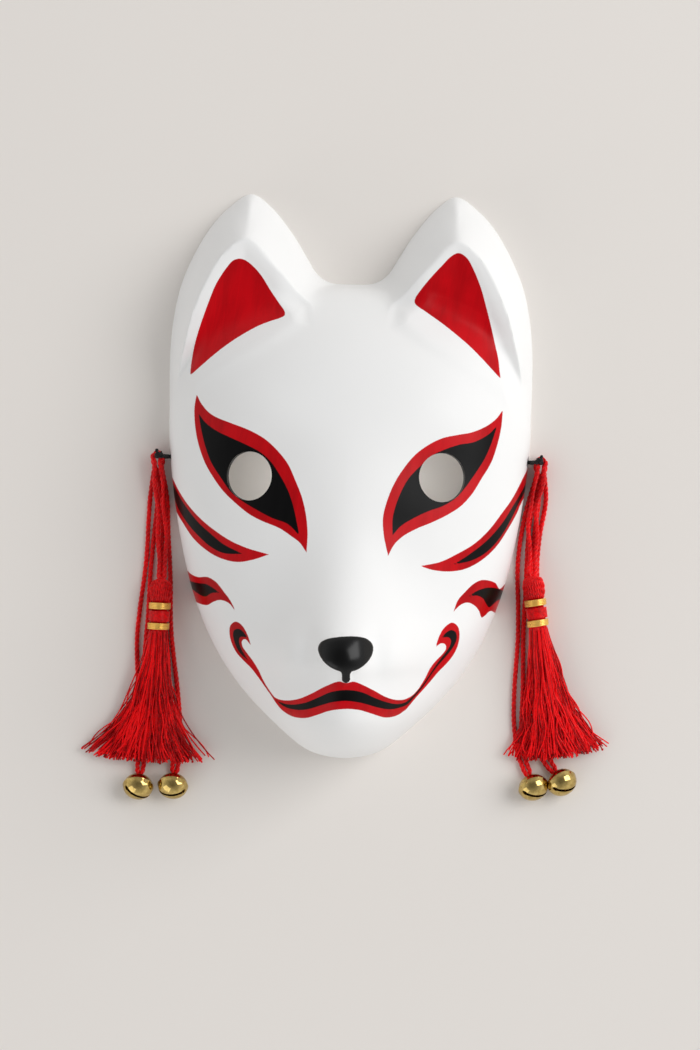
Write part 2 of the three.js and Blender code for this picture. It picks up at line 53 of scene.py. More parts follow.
# %% Sizes of the mask, ties, cords, tassels and bells
HALF_LENGTH = 129 * MM
HALF_WIDTH = 83.2 * MM
MASK_DEPTH = 89 * MM
WALL = 3 * MM
EYE_HOLE_DIAMETER = 21.8 * MM
EYE_TILT = math.radians(13)
EYE_PLACES = {"left": (-43.4 * MM, -1.5 * MM), "right": (42.4 * MM, -0.8 * MM)}
TIE_ALONG = 0.058 * HALF_LENGTH
TIE_HOLE_HEIGHT = 6.2 * MM
TIE_HOLE_DIAMETER = 5.2 * MM
TIE_CORD_DIAMETER = 2 * MM
TIE_REACH = 5.4 * MM
TIE_LOOP_HEIGHT = 10.6 * MM
STRAND_DIAMETER = 2.2 * MM
HEAD_DIAMETER = 10.4 * MM
HEAD_LENGTH = 9.6 * MM
NECK_DIAMETER = 8 * MM
GOLD_BAND_LENGTH = 3.6 * MM
RED_BAND_LENGTH = 5 * MM
SKIRT_LENGTH = 62 * MM
BELL_DIAMETER = 13.8 * MM
BELL_HEIGHT = 11 * MM
BELL_EYE_DIAMETER = 3.4 * MM
BELL_EYE_WIRE = 0.6 * MM
BELL_TILT = math.radians(43)
CLEARANCE = 0.35 * MM
LOOP_GAP = 0.7 * MM
EYE_REACH = BELL_HEIGHT / 2 + BELL_EYE_DIAMETER / 2 - BELL_EYE_WIRE
BELL_REST = math.hypot(BELL_DIAMETER / 2 * math.cos(BELL_TILT), BELL_HEIGHT / 2 * math.sin(BELL_TILT))

# %% [markdown]
# ## Camera
# The mask lies down, so the camera looks down on it from 1.35 m above the rim. One pixel of the
# photograph is 0.46 mm at the rim. The mask leans by one degree in the picture, and the camera
# stands a little to its right. A long lens gives the flat look of a product photograph.

# %% Place the camera
PIXEL = 0.46 * MM
PHOTO_WIDTH, PHOTO_HEIGHT = 700, 1050
CAMERA_HEIGHT = 1350 * MM
CAMERA_LEAN = math.radians(1.0)
CAMERA_SIDESTEP = 28 * MM
LOOKS_AT = Vector((0.85, -22.5, 0)) * MM
SENSOR = 36.0

camera_place = LOOKS_AT + Vector((CAMERA_SIDESTEP, 0, CAMERA_HEIGHT))
camera_back = (camera_place - LOOKS_AT).normalized()
level_right = Vector((math.cos(CAMERA_LEAN), math.sin(CAMERA_LEAN), 0))
camera_up = camera_back.cross(level_right).normalized()
camera_right = camera_up.cross(camera_back)
camera_distance = (camera_place - LOOKS_AT).length

camera_data = bpy.data.cameras.new("camera")
camera_data.sensor_fit = "VERTICAL"
camera_data.sensor_height = SENSOR
camera_data.lens = SENSOR * camera_distance / (PHOTO_HEIGHT * PIXEL)
camera_data.clip_end = 40
camera = bpy.data.objects.new("camera", camera_data)
turn = Matrix((camera_right, camera_up, camera_back)).transposed()
camera.matrix_world = Matrix.Translation(camera_place) @ turn.to_4x4()
bpy.context.scene.collection.objects.link(camera)
bpy.context.scene.camera = camera
print("lens", round(camera_data.lens, 1), "mm")


def photo_places(points):
    """The pixels of the photograph where points of the mask are seen."""
    away = points - np.array(camera_place)
    depth = -away @ np.array(camera_back)
    across = away @ np.array(camera_right) / depth
    up = away @ np.array(camera_up) / depth
    pixels = camera_distance / PIXEL
    return np.stack([PHOTO_WIDTH / 2 + across * pixels, PHOTO_HEIGHT / 2 - up * pixels], axis=1)


# %% [markdown]
# ## Helpers for meshes
# A few short functions are used by many pieces. They turn points and faces into a piece, join pieces,
# link rings of points with faces, and cut closed shapes out of a piece.

# %% Meshes, curves and holes
def new_piece(name, data):
    piece = bpy.data.objects.new(name, data)
    bpy.context.scene.collection.objects.link(piece)
    return piece


def mesh_piece(name, points, faces, smooth=True, finish=None):
    mesh = bpy.data.meshes.new(name)
    mesh.from_pydata([tuple(p) for p in points], [], [tuple(f) for f in faces])
    mesh.update()
    if smooth:
        mesh.shade_smooth()
    if finish:
        mesh.materials.append(finish)
    return new_piece(name, mesh)


def curve_piece(name, lines, closed=False):
    data = bpy.data.curves.new(name, "CURVE")
    data.dimensions = "3D"
    for line in lines:
        spline = data.splines.new("POLY")
        spline.points.add(len(line) - 1)
        for point, place in zip(spline.points, line):
            point.co = (*place, 1)
        spline.use_cyclic_u = closed
    return new_piece(name, data)


def join_pieces(name, pieces):
    """One mesh piece out of several, with their materials."""
    joined, finishes = bmesh.new(), []
    for piece in pieces:
        start, own = len(joined.faces), list(piece.data.materials)
        joined.from_mesh(piece.data)
        joined.faces.ensure_lookup_table()
        for face in joined.faces[start:]:
            finish = own[face.material_index]
            if finish not in finishes:
                finishes.append(finish)
            face.material_index = finishes.index(finish)
        data = piece.data
        bpy.data.objects.remove(piece)
        bpy.data.meshes.remove(data)
    mesh = bpy.data.meshes.new(name)
    joined.to_mesh(mesh)
    joined.free()
    for finish in finishes:
        mesh.materials.append(finish)
    return new_piece(name, mesh)


def around(sides):
    """Cosine and sine of evenly spaced angles round a circle."""
    return [(math.cos(a), math.sin(a)) for a in (2 * math.pi * i / sides for i in range(sides))]


def flipped(faces):
    return [face[::-1] for face in faces]


def ring_faces(first, rings, sides, closed=False):
    """Quads between rings of points that follow each other."""
    def at(ring, i):
        return first + ring % rings * sides + i % sides

    return [
        (at(k, i), at(k, i + 1), at(k + 1, i + 1), at(k + 1, i))
        for k in range(rings if closed else rings - 1) for i in range(sides)
    ]


def tip_faces(first, sides, tip):
    """Triangles from a ring of points to one point."""
    return [(first + i, first + (i + 1) % sides, tip) for i in range(sides)]


def ball_faces(first, rings, sides):
    """Faces of rings that have a single point before them and another behind them."""
    start, last = first + 1, first + 1 + rings * sides
    sides_of_it = ring_faces(start, rings, sides)
    return flipped(tip_faces(start, sides, first)) + sides_of_it + tip_faces(last - sides, sides, last)


def pin(place, direction, diameter, length, sides):
    """A closed round pin, as points and faces."""
    turned = Vector((0, 0, 1)).rotation_difference(Vector(direction)).to_matrix()
    points = [
        Vector(place) + turned @ Vector((diameter / 2 * c, diameter / 2 * s, end * length))
        for end in (-0.5, 0.5) for c, s in around(sides)
    ]
    ends = [tuple(range(sides))[::-1], tuple(range(sides, 2 * sides))]
    return points, ends + ring_faces(0, 2, sides)


def cut_out(piece, cutters, sharp):
    """Cuts closed shapes out of a piece and marks the edges that turn by more than an angle."""
    for points, faces in cutters:
        cutter = mesh_piece("cutter", points, faces, smooth=False)
        cut = piece.modifiers.new("cut", "BOOLEAN")
        cut.object, cut.operation, cut.solver = cutter, "DIFFERENCE", "MANIFOLD"
        graph = bpy.context.evaluated_depsgraph_get()
        mesh = bpy.data.meshes.new_from_object(piece.evaluated_get(graph))
        piece.modifiers.remove(cut)
        piece.data = mesh
        bpy.data.objects.remove(cutter)
    edges = bmesh.new()
    edges.from_mesh(piece.data)
    for edge in edges.edges:
        if len(edge.link_faces) == 2 and edge.calc_face_angle() > sharp:
            edge.smooth = False
    edges.to_mesh(piece.data)
    edges.free()


# %% [markdown]
# ## Helpers for lines
# Outlines, cords and profiles are given by a few points. One function draws a smooth line through
# them, and another spaces its points evenly.

# %% Smooth lines
def smooth_line(points, steps, closed=False):
    """A smooth line through points, with its bends eased by the distance between them."""
    points = np.array(points, dtype=float)
    if closed:
        points = np.concatenate([points[-1:], points, points[:2]])
    else:
        points = np.concatenate([[2 * points[0] - points[1]], points, [2 * points[-1] - points[-2]]])
    gaps = np.maximum(np.linalg.norm(np.diff(points, axis=0), axis=1) ** 0.5, 1e-9)
    t = (np.arange(steps) / steps)[:, None]
    spans = []
    for i in range(1, len(points) - 2):
        p0, p1, p2, p3 = points[i - 1 : i + 3]
        d0, d1, d2 = gaps[i - 1 : i + 2]
        m1 = ((p1 - p0) / d0 - (p2 - p0) / (d0 + d1) + (p2 - p1) / d1) * d1
        m2 = ((p2 - p1) / d1 - (p3 - p1) / (d1 + d2) + (p3 - p2) / d2) * d1
        spans.append(
            (2 * t**3 - 3 * t**2 + 1) * p1 + (t**3 - 2 * t**2 + t) * m1
            + (3 * t**2 - 2 * t**3) * p2 + (t**3 - t**2) * m2
        )
    line = np.concatenate(spans)
    return line if closed else np.concatenate([line, points[-2:-1]])


def evenly(line, count):
    """The same line with points at even distances."""
    steps = np.linalg.norm(np.diff(line, axis=0), axis=1)
    far = np.concatenate([[0], np.cumsum(steps)])
    wanted = np.linspace(0, far[-1], count)
    return np.stack([np.interp(wanted, far, line[:, k]) for k in range(line.shape[1])], axis=1)


# %% [markdown]
# ## Helpers for node trees
# A node tree is written like a sum: adding or multiplying two node outputs adds a maths node. All
# geometry trees end the same way, with a smooth mesh that is made real and given its finish.

# %% Write node trees
class Value:
    """One output of a node."""

    def __init__(self, tree, socket):
        self.tree, self.socket = tree, socket

    def maths(self, operation, *others):
        return self.tree.add("ShaderNodeMath", [self, *others], operation=operation)[0]

    def __add__(self, other):
        return self.maths("ADD", other)

    def __sub__(self, other):
        return self.maths("SUBTRACT", other)

    def __mul__(self, other):
        return self.maths("MULTIPLY", other)

    def __truediv__(self, other):
        return self.maths("DIVIDE", other)

    def __pow__(self, other):
        return self.maths("POWER", other)


class Tree:
    """A node tree. Each call adds a node, and its outputs are found by name or number."""

    def __init__(self, tree):
        self.tree = tree

    def put(self, node, inputs):
        for key, value in inputs.items() if isinstance(inputs, dict) else enumerate(inputs):
            for one in value if isinstance(value, list) else [value]:
                if isinstance(one, Value):
                    self.tree.links.new(one.socket, node.inputs[key])
                else:
                    node.inputs[key].default_value = one

    def add(self, kind, inputs=(), captures=(), **settings):
        node = self.tree.nodes.new(kind)
        for key, value in settings.items():
            setattr(node, key, value)
        for item in captures:
            node.capture_items.new(*item)
        self.put(node, inputs)
        return {key: Value(self, out) for i, out in enumerate(node.outputs) for key in (i, out.name)}

    def geometry(self, kind, inputs=(), **settings):
        return self.add("GeometryNode" + kind, inputs, **settings)

    def vector(self, operation, inputs):
        return self.add("ShaderNodeVectorMath", inputs, operation=operation)[0]

    def combine(self, x, y, z=0.0):
        return self.add("ShaderNodeCombineXYZ", [x, y, z])[0]

    def noise(self, place, scale, detail=2.0, **more):
        inputs = {"Vector": place, "Scale": scale, "Detail": detail, **more}
        return self.add("ShaderNodeTexNoise", inputs)["Fac"]

    def span(self, value, low, high, to_low=0.0, to_high=1.0):
        """Moves a value from one range to another, with its ends held."""
        return self.add("ShaderNodeMapRange", [value, low, high, to_low, to_high])[0]

    def mix(self, share, first, second):
        return self.add("ShaderNodeMix", {0: share, 6: first, 7: second}, data_type="RGBA")[2]

    def bump(self, height, strength, distance):
        inputs = {"Height": height, "Strength": strength, "Distance": distance}
        return self.add("ShaderNodeBump", inputs)[0]

    def kept(self, name):
        """A value that the mesh keeps on its points."""
        return self.add("ShaderNodeAttribute", attribute_name=name)["Fac"]

    def group(self, group, inputs=()):
        return self.add("ShaderNodeGroup", inputs, node_tree=group)

    def tube(self, line, sides, radius):
        section = self.geometry("CurvePrimitiveCircle", {"Resolution": sides, "Radius": radius})[0]
        return self.geometry("CurveToMesh", {"Curve": line, "Profile Curve": section, "Fill Caps": True})[0]

    def close(self, kind, **results):
        """Makes the tree's own outputs."""
        for label in results:
            self.tree.interface.new_socket(label, in_out="OUTPUT", socket_type="NodeSocket" + kind)
        self.add("NodeGroupOutput", results)
        return self.tree

    def close_mesh(self, mesh, finish):
        mesh = self.geometry("SetShadeSmooth", {"Geometry": mesh})[0]
        mesh = self.geometry("RealizeInstances", {"Geometry": mesh})[0]
        mesh = self.geometry("SetMaterial", {"Geometry": mesh, "Material": finish})[0]
        return self.close("Geometry", Geometry=mesh)


def new_tree(name, kind, inputs):
    """A node group and its inputs, each given by its default or, as a word, by its kind."""
    group = bpy.data.node_groups.new(name, kind)
    for label, value in inputs.items():
        socket = value if isinstance(value, str) else {int: "Int", float: "Float"}[type(value)]
        made = group.interface.new_socket(label, in_out="INPUT", socket_type="NodeSocket" + socket)
        if socket != value:
            made.default_value = value
    tree = Tree(group)
    return tree, tree.add("NodeGroupInput")


def new_finish(name, inputs_of):
    """A Principled material whose inputs a function works out in its tree."""
    finish = bpy.data.materials.new(name)
    finish.use_nodes = True
    tree = Tree(finish.node_tree)
    tree.put(finish.node_tree.nodes["Principled BSDF"], inputs_of(tree))
    return finish


def grow(tree, source, name, values):
    """Runs a node tree on an object and keeps the result as a plain mesh piece."""
    modifier = source.modifiers.new("grow", "NODES")
    modifier.node_group = tree
    sockets = {s.name: s.identifier for s in tree.interface.items_tree if s.in_out == "INPUT"}
    for label, value in values.items():
        modifier[sockets[label]] = value
    graph = bpy.context.evaluated_depsgraph_get()
    mesh = bpy.data.meshes.new_from_object(source.evaluated_get(graph))
    mesh.name = name
    data, kind = source.data, source.type
    bpy.data.objects.remove(source)
    (bpy.data.curves if kind == "CURVE" else bpy.data.meshes).remove(data)
    return new_piece(name, mesh)


# %% [markdown]
# ## The red cords
# Each red cord is one thin twisted cord, doubled. Its fold goes round the black tie, and its two
# strands lie side by side down to a bell, or to the head of the tassel. The routes below are those
# of the solids: millimetres outwards and along from the tie, and the height above the floor.

# %% Routes of the cords
CORD_ROUTES = {
    "left": {
        "outer_bell_cord": [
            (5.4, -1.7, 3.3), (6, -7.5, 2.1), (7.1, -17.5, 1.25), (7.9, -29.5, 1.2), (8.9, -45.5, 1.2),
            (10, -59.5, 1.2), (11.1, -73.5, 1.2), (12, -87.5, 1.2), (11.8, -107.5, 1.2),
            (11, -125.5, 1.2), (11, -138, 1.4), (11.4, -144.7, 2),
        ],
        "inner_bell_cord": [
            (5.4, -1.7, 6), (4.5, -7.5, 5.1), (2.5, -17.5, 2.9), (1.9, -25.5, 1.4), (1.7, -37.5, 1.2),
            (1.1, -55.5, 1.2), (0.1, -73.5, 1.2), (-1.9, -92.5, 1.2), (-3.9, -112.5, 1.2),
            (-5.1, -127.5, 1.2), (-5, -138, 1.4), (-4.6, -144.1, 2),
        ],
        "tassel_loop": [
            (5.4, -1.7, 8.7), (5, -7.5, 8.1), (4.2, -17.5, 5.9), (3.4, -27.5, 4.3), (2.9, -37.5, 4.1),
            (2.6, -47.5, 5.2), (2.5, -55.8, 7.9),
        ],
    },
    "right": {
        "outer_bell_cord": [
            (5.4, -1.7, 3.3), (6, -7.5, 2.1), (6.6, -17.5, 1.25), (4.7, -31.5, 1.2), (3.4, -47.5, 1.2),
            (3.5, -63.5, 1.2), (5, -82.5, 1.2), (7, -102.5, 1.2), (7.6, -119.5, 1.2),
            (8.6, -131, 1.2), (10.6, -136.3, 1.4), (13.6, -140.4, 2),
        ],
        "inner_bell_cord": [
            (5.4, -1.7, 6), (4.5, -7.5, 5.1), (1.6, -17.5, 2.9), (-0.4, -27.5, 1.4), (-2, -44.5, 1.2),
            (-2.1, -63.5, 1.2), (-2.3, -82.5, 1.2), (-2.7, -102.5, 1.2), (-2.9, -119.5, 1.2),
            (-1.9, -130.5, 1.2), (-0.3, -136.5, 1.4), (2, -142.1, 2),
        ],
        "tassel_loop": [
            (5.4, -1.7, 8.7), (5, -7.5, 8.1), (2.9, -17.5, 5.9), (2.1, -26.5, 4.4), (2.6, -34.5, 4.1),
            (2.5, -43.5, 5.2), (2.3, -51.4, 7.9),
        ],
    },
}
SIGN = {"left": -1, "right": 1}

# %% [markdown]
# ## Thread finishes
# Silk, waxed cord and gold thread share one small shader group. It puts out the fine fibres and the
# slow changes of shade.

# %% Make the thread finishes
OWN_TONE = 0.3


def fibre_group():
    tree, given = new_tree("fibres", "ShaderNodeTree", {"Fineness": 900.0, "Patches": 60.0})
    place = tree.add("ShaderNodeTexCoord")["Object"]
    fibre, patch = tree.noise(place, given["Fineness"]), tree.noise(place, given["Patches"])
    return tree.close("Float", Fibre=fibre, Patch=patch)


FIBRES = fibre_group()


def thread_finish(name, dark, light, roughness, shine):
    """Thread whose tone changes along it, and from thread to thread where "tone" is kept."""
    def inputs_of(tree):
        fibres = tree.group(FIBRES)
        level = (fibres["Fibre"] + fibres["Patch"]) * 0.5 + tree.kept("tone") * OWN_TONE
        return {
            "Base Color": tree.mix(tree.span(level, 0.28, 0.62), (*dark, 1), (*light, 1)),
            "Roughness": roughness,
            "Specular IOR Level": shine,
            "Normal": tree.bump(fibres["Fibre"], 0.4, 0.2 * MM),
        }

    return new_finish(name, inputs_of)


def gold_inputs(tree):
    fibres = tree.group(FIBRES)
    return {
        "Base Color": tree.mix(fibres["Patch"], (0.85, 0.44, 0.06, 1), (1.0, 0.72, 0.22, 1)),
        "Metallic": 0.7,
        "Roughness": tree.span(fibres["Fibre"], 0.0, 1.0, 0.2, 0.42),
    }


RED_SILK = thread_finish("red silk thread", (0.34, 0.0005, 0.002), (1.0, 0.006, 0.009), 0.3, 0.22)
BLACK_CORD = thread_finish("black waxed cord", (0.003, 0.003, 0.0035), (0.012, 0.012, 0.013), 0.5, 0.3)
GOLD_THREAD = new_finish("gold thread", gold_inputs)
print("finishes:", [finish.name for finish in (RED_SILK, BLACK_CORD, GOLD_THREAD)])

# %% [markdown]
# ## A twisted cord
# A cord is spun from plies that wind round each other. The node tree takes any line, puts one helix
# of small radius round it for each ply, and sweeps a circle along each helix. The same tree makes
# the thick red cords and the thin black one, with other sizes.

# %% Node tree of a twisted cord
PLY_PLACE = 0.25
PLY_RADIUS = 0.27


def twisted_cord_tree():
    tree, given = new_tree("twisted cord", "GeometryNodeTree", {
        "Geometry": "Geometry", "Diameter": 0.0022, "Plies": 2, "Turn": 0.006, "Step": 0.0005,
        "Finish": "Material",
    })
    line = tree.geometry(
        "ResampleCurve", {"Curve": given["Geometry"], "Length": given["Step"]}, mode="LENGTH"
    )[0]
    kept = tree.geometry(
        "CaptureAttribute",
        {
            "Geometry": line, "Normal": tree.geometry("InputNormal")[0],
            "Tangent": tree.geometry("InputTangent")[0], "Far": tree.geometry("SplineParameter")["Length"],
        },
        captures=[("VECTOR", "Normal"), ("VECTOR", "Tangent"), ("FLOAT", "Far")],
    )
    plies = tree.geometry(
        "DuplicateElements", {"Geometry": kept["Geometry"], "Amount": given["Plies"]}, domain="SPLINE"
    )
    number = tree.geometry(
        "CaptureAttribute", {"Geometry": plies["Geometry"], "Ply": plies["Duplicate Index"]},
        captures=[("INT", "Ply")], domain="CURVE",
    )
    angle = (kept["Far"] / given["Turn"] + number["Ply"] / given["Plies"]) * (2 * math.pi)
    reach = given["Diameter"] * PLY_PLACE
    other = tree.vector("CROSS_PRODUCT", [kept["Tangent"], kept["Normal"]])
    out = tree.vector("SCALE", {0: kept["Normal"], "Scale": reach * angle.maths("COSINE")})
    up = tree.vector("SCALE", {0: other, "Scale": reach * angle.maths("SINE")})
    wound = tree.geometry(
        "SetPosition", {"Geometry": number["Geometry"], "Offset": tree.vector("ADD", [out, up])}
    )[0]
    return tree.close_mesh(tree.tube(wound, 6, given["Diameter"] * PLY_RADIUS), given["Finish"])


TWISTED_CORD = twisted_cord_tree()
print("cord tree has", len(TWISTED_CORD.nodes), "nodes")

# %% [markdown]
# ## Lay the red cords
# The middle of each doubled cord follows its route. The two strands run beside it, a little apart
# and wandering slightly, as limp silk does. They join in a small round fold at both ends.

# %% Make the six red cords
SHELL_STEPS = 24
HEAD_SIDE = [
    (0, -1), (0.19, -0.977), (0.385, -0.88), (0.595, -0.74), (0.745, -0.589), (0.86, -0.403),
    (0.946, -0.155), (0.99, 0.062), (0.998, 0.2), (0.99, 0.31), (0.953, 0.405), (0.868, 0.49),
    (0.73, 0.563), (0.54, 0.623), (0.33, 0.66), (0.16, 0.677), (0, 0.683),
]


def drawn(points):
    return [(x * HALF_WIDTH, y * HALF_LENGTH, *rest) for x, y, *rest in points]


head_line = smooth_line(drawn(HEAD_SIDE), SHELL_STEPS)
TIE_SIDE = float(np.interp(TIE_ALONG, head_line[:, 1], head_line[:, 0]))
STRAND_GAP = 0.2 * MM
FOLD_RADIUS = 2.15 * MM
WANDER = 0.45 * MM

WAVES = (2.3, 3.1)
LIFT = 0.12 * MM


def from_tie(side, route):
    """A route's points in the mask's own frame."""
    out = np.array(route, dtype=float) * MM
    return np.stack([SIGN[side] * (TIE_SIDE + out[:, 0]), TIE_ALONG + out[:, 1], out[:, 2]], axis=1)


def cord_middle(side, kind):
    """The middle line, which starts at the black tie's own middle."""
    route = CORD_ROUTES[side][kind]
    start = (5.4, 0, route[0][2])
    return evenly(smooth_line(from_tie(side, [start, *route]), 12), 60)


def doubled(middle, phase, foot):
    """Both strands as one closed line: down one side, round, and back up the other."""
    along = np.gradient(middle, axis=0)
    flat = np.stack([-along[:, 1], along[:, 0], 0 * along[:, 0]], axis=1)
    flat /= np.linalg.norm(flat, axis=1)[:, None]
    far = np.linspace(0, 1, len(middle))
    ease = np.sin(np.pi * far) ** 0.5
    apart = WANDER * ease * (1 + np.sin(2 * np.pi * (WAVES[0] * far + phase)))
    gap = np.where(far < 0.03, FOLD_RADIUS, (STRAND_DIAMETER + STRAND_GAP) / 2 + apart)[:, None]
    lift = np.abs(LIFT * ease * np.sin(2 * np.pi * (WAVES[1] * far + 2 * phase)))
    line = middle + np.stack([0 * far, 0 * far, lift], axis=1)
    top = middle[0] - along[0] / np.linalg.norm(along[0]) * FOLD_RADIUS
    return np.concatenate([[top], line + flat * gap, [foot], (line - flat * gap)[::-1]])


def fold_place(side, kind, middle):
    """Where the strand turns back: in the bell's eye, or at the top of the tassel's head."""
    before, end = from_tie(side, CORD_ROUTES[side][kind][-2:])
    away = end - before
    away[2] = 0
    away /= np.linalg.norm(away)
    if kind == "tassel_loop":
        return middle[-1] + away * LOOP_GAP
    place = middle[-1] + away * (BELL_EYE_DIAMETER / 2 + CLEARANCE)
    place[2] = BELL_REST - EYE_REACH * math.sin(BELL_TILT)
    return place


def lay_cord(side, kind, number):
    middle = cord_middle(side, kind)
    line = doubled(middle, 0.37 * number, fold_place(side, kind, middle))
    values = {
        "Diameter": STRAND_DIAMETER, "Plies": 3, "Turn": 7 * MM, "Step": 0.6 * MM, "Finish": RED_SILK,
    }
    return grow(TWISTED_CORD, curve_piece("line", [line], closed=True), f"{side}_{kind}_silk", values), middle


def line_length(line):
    return float(np.linalg.norm(np.diff(line, axis=0), axis=1).sum())


cord_pieces = {}
for side in SIGN:
    for number, kind in enumerate(CORD_ROUTES[side]):
        cord_pieces[side, kind] = lay_cord(side, kind, number + 3 * (side == "right"))
        print(side, kind, "is", round(line_length(cord_pieces[side, kind][1]) / MM), "mm long")

# %% [markdown]
# ## The form of the mask
# The face is one smooth dome. Its height comes from a profile down the middle, rounded off to each
# side, with a muzzle, pads beside the nose, eye sockets and brows added. Each ear is a bevel that
# rises from the rim to a ridge, with a shallow hollow behind the ridge. The two forms melt into each
# other where they meet, as in a moulded shell.

# %% Lines and heights that shape the face
PROFILE = [
    (-1, 0), (-0.99, 0.27), (-0.955, 0.53), (-0.9, 0.72), (-0.84, 0.84), (-0.775, 0.9), (-0.7, 0.945),
    (-0.645, 0.995), (-0.6, 0.998), (-0.545, 0.965), (-0.46, 0.875), (-0.34, 0.77), (-0.2, 0.705),
    (-0.03, 0.675), (0.155, 0.645), (0.35, 0.57), (0.45, 0.5), (0.545, 0.39), (0.612, 0.28),
    (0.655, 0.16), (0.683, 0),
]
EAR_RIM = [
    (1.002, 0.37), (0.999, 0.46), (0.985, 0.555), (0.95, 0.665), (0.893, 0.76), (0.79, 0.878),
    (0.69, 0.95), (0.567, 1), (0.46, 0.957), (0.325, 0.851), (0.255, 0.778), (0.19, 0.715),
    (0.12, 0.688), (0, 0.683),
]
EAR_RIDGE = [
    (0.9, 0.17), (0.938, 0.29), (0.925, 0.385), (0.897, 0.46), (0.859, 0.552), (0.819, 0.62),
    (0.775, 0.681), (0.703, 0.757), (0.581, 0.818), (0.519, 0.798), (0.43, 0.734), (0.353, 0.684),
    (0.3, 0.643), (0.215, 0.595),
]
EAR_BACK = [(0.18, 0.5), (0.36, 0.41), (0.56, 0.33), (0.76, 0.25)]
RIDGE_HEIGHTS = [
    (0.17, 0.08), (0.29, 0.16), (0.385, 0.23), (0.46, 0.285), (0.552, 0.32), (0.62, 0.335), (0.757, 0.345),
]
RIDGE_END, RIDGE_END_DROP = (0.15, 0.42), 5 * MM
HOLLOW_DEPTH = 0.045
HOLLOW_REACH = 6.5 * MM
BEVEL_POWER = 0.8
LOW_FORMS = [
    ("pads", 0.285, -0.63, 0.085, 0.085, 0.022),
    ("furrows", 0.18, -0.6, 0.06, 0.075, -0.026),
    ("sockets", 0.46, 0.02, 0.24, 0.13, -0.03),
    ("brows", 0.5, 0.22, 0.26, 0.09, 0.014),
]
MUZZLE_SHARE, MUZZLE_PLACE, MUZZLE_UP, MUZZLE_DOWN = 0.32, -0.64, 0.36, 0.22
BRIDGE_WIDTH, MUZZLE_WIDTH, MUZZLE_FROM, MUZZLE_TO = 0.19, 0.375, -0.05, -0.66
RIDGE_SOFTNESS = 1.5 * MM
JOIN_SOFTNESS = 2.2 * MM
FIELD_SOFTNESS = 7 * MM
FIELD_FADE = (2 * MM, 10 * MM)
END_PLACE, END_REACH, END_SOFTNESS = (0.26, 0.6), 13 * MM, 6 * MM

half_rim = drawn(HEAD_SIDE[:9] + EAR_RIM)
whole_rim = half_rim + [(-x, y) for x, y in half_rim[1:-1]][::-1]
rim_line = smooth_line(whole_rim, SHELL_STEPS, closed=True)
ear_edge = smooth_line(drawn(HEAD_SIDE[6:9] + EAR_RIM), SHELL_STEPS)
profile_line = smooth_line([(y * HALF_LENGTH, z * MASK_DEPTH) for y, z in PROFILE], SHELL_STEPS)
ridge_line = smooth_line(drawn(EAR_RIDGE), 12)
ear_front = np.concatenate([ridge_line, np.array(drawn(EAR_BACK))])
ear_field = np.concatenate([ear_front, ear_front[:1]])


def nearest(line, points):
    """Distance from each point to a line of short spans."""
    start, step = line[:-1], np.diff(line, axis=0)
    long = np.maximum((step**2).sum(axis=1), 1e-18)
    found = np.empty(len(points))
    for first in range(0, len(points), 4000):
        some = points[first : first + 4000, None, :] - start[None]
        share = np.clip((some * step).sum(axis=2) / long, 0, 1)
        found[first : first + 4000] = np.linalg.norm(some - share[..., None] * step, axis=2).min(axis=1)
    return found


def is_inside(line, points):
    """Whether each point lies inside a closed line."""
    inside = np.zeros(len(points), dtype=bool)
    x, y = points[:, 0], points[:, 1]
    for (ax, ay), (bx, by) in zip(line, np.roll(line, -1, axis=0)):
        crosses = (ay > y) != (by > y)
        if crosses.any():
            inside ^= crosses & (x < (bx - ax) * (y - ay) / (by - ay if by != ay else 1) + ax)
    return inside


def smooth_step(value, low, high):
    share = np.clip((value - low) / (high - low), 0, 1)
    return share * share * (3 - 2 * share)


def head_height(x, y):
    width = np.maximum(np.interp(y, head_line[:, 1], np.maximum(head_line[:, 0], 0)), 1e-6)
    inside = (y > -HALF_LENGTH) & (y < head_line[-1, 1])
    share = np.where(inside, np.minimum(np.abs(x) / width, 1), 1)
    round_off = np.sqrt(1 - share**2)
    place = y - MUZZLE_PLACE * HALF_LENGTH
    reach = np.where(place > 0, MUZZLE_UP, MUZZLE_DOWN) * HALF_LENGTH
    muzzle = MUZZLE_SHARE * np.exp(-((place / reach) ** 2))
    widen = smooth_step(-y, -MUZZLE_FROM * HALF_LENGTH, -MUZZLE_TO * HALF_LENGTH)
    wide = (BRIDGE_WIDTH + (MUZZLE_WIDTH - BRIDGE_WIDTH) * widen) * HALF_WIDTH
    along_middle = np.interp(y, profile_line[:, 0], profile_line[:, 1])
    height = along_middle * round_off * (1 - muzzle + muzzle * np.exp(-((x / wide) ** 2)))
    for _, px, py, rx, ry, z in LOW_FORMS:
        sideways = np.exp(-(((np.abs(x) / HALF_WIDTH - px) / rx) ** 2))
        lengthwise = np.exp(-(((y / HALF_LENGTH - py) / ry) ** 2))
        height = height + z * MASK_DEPTH * round_off * sideways * lengthwise
    return height


def soft_min(a, b, softness):
    return (a + b - np.hypot(a - b, softness)) / 2


def soft_max(a, b, softness):
    return (a + b + np.hypot(a - b, softness)) / 2


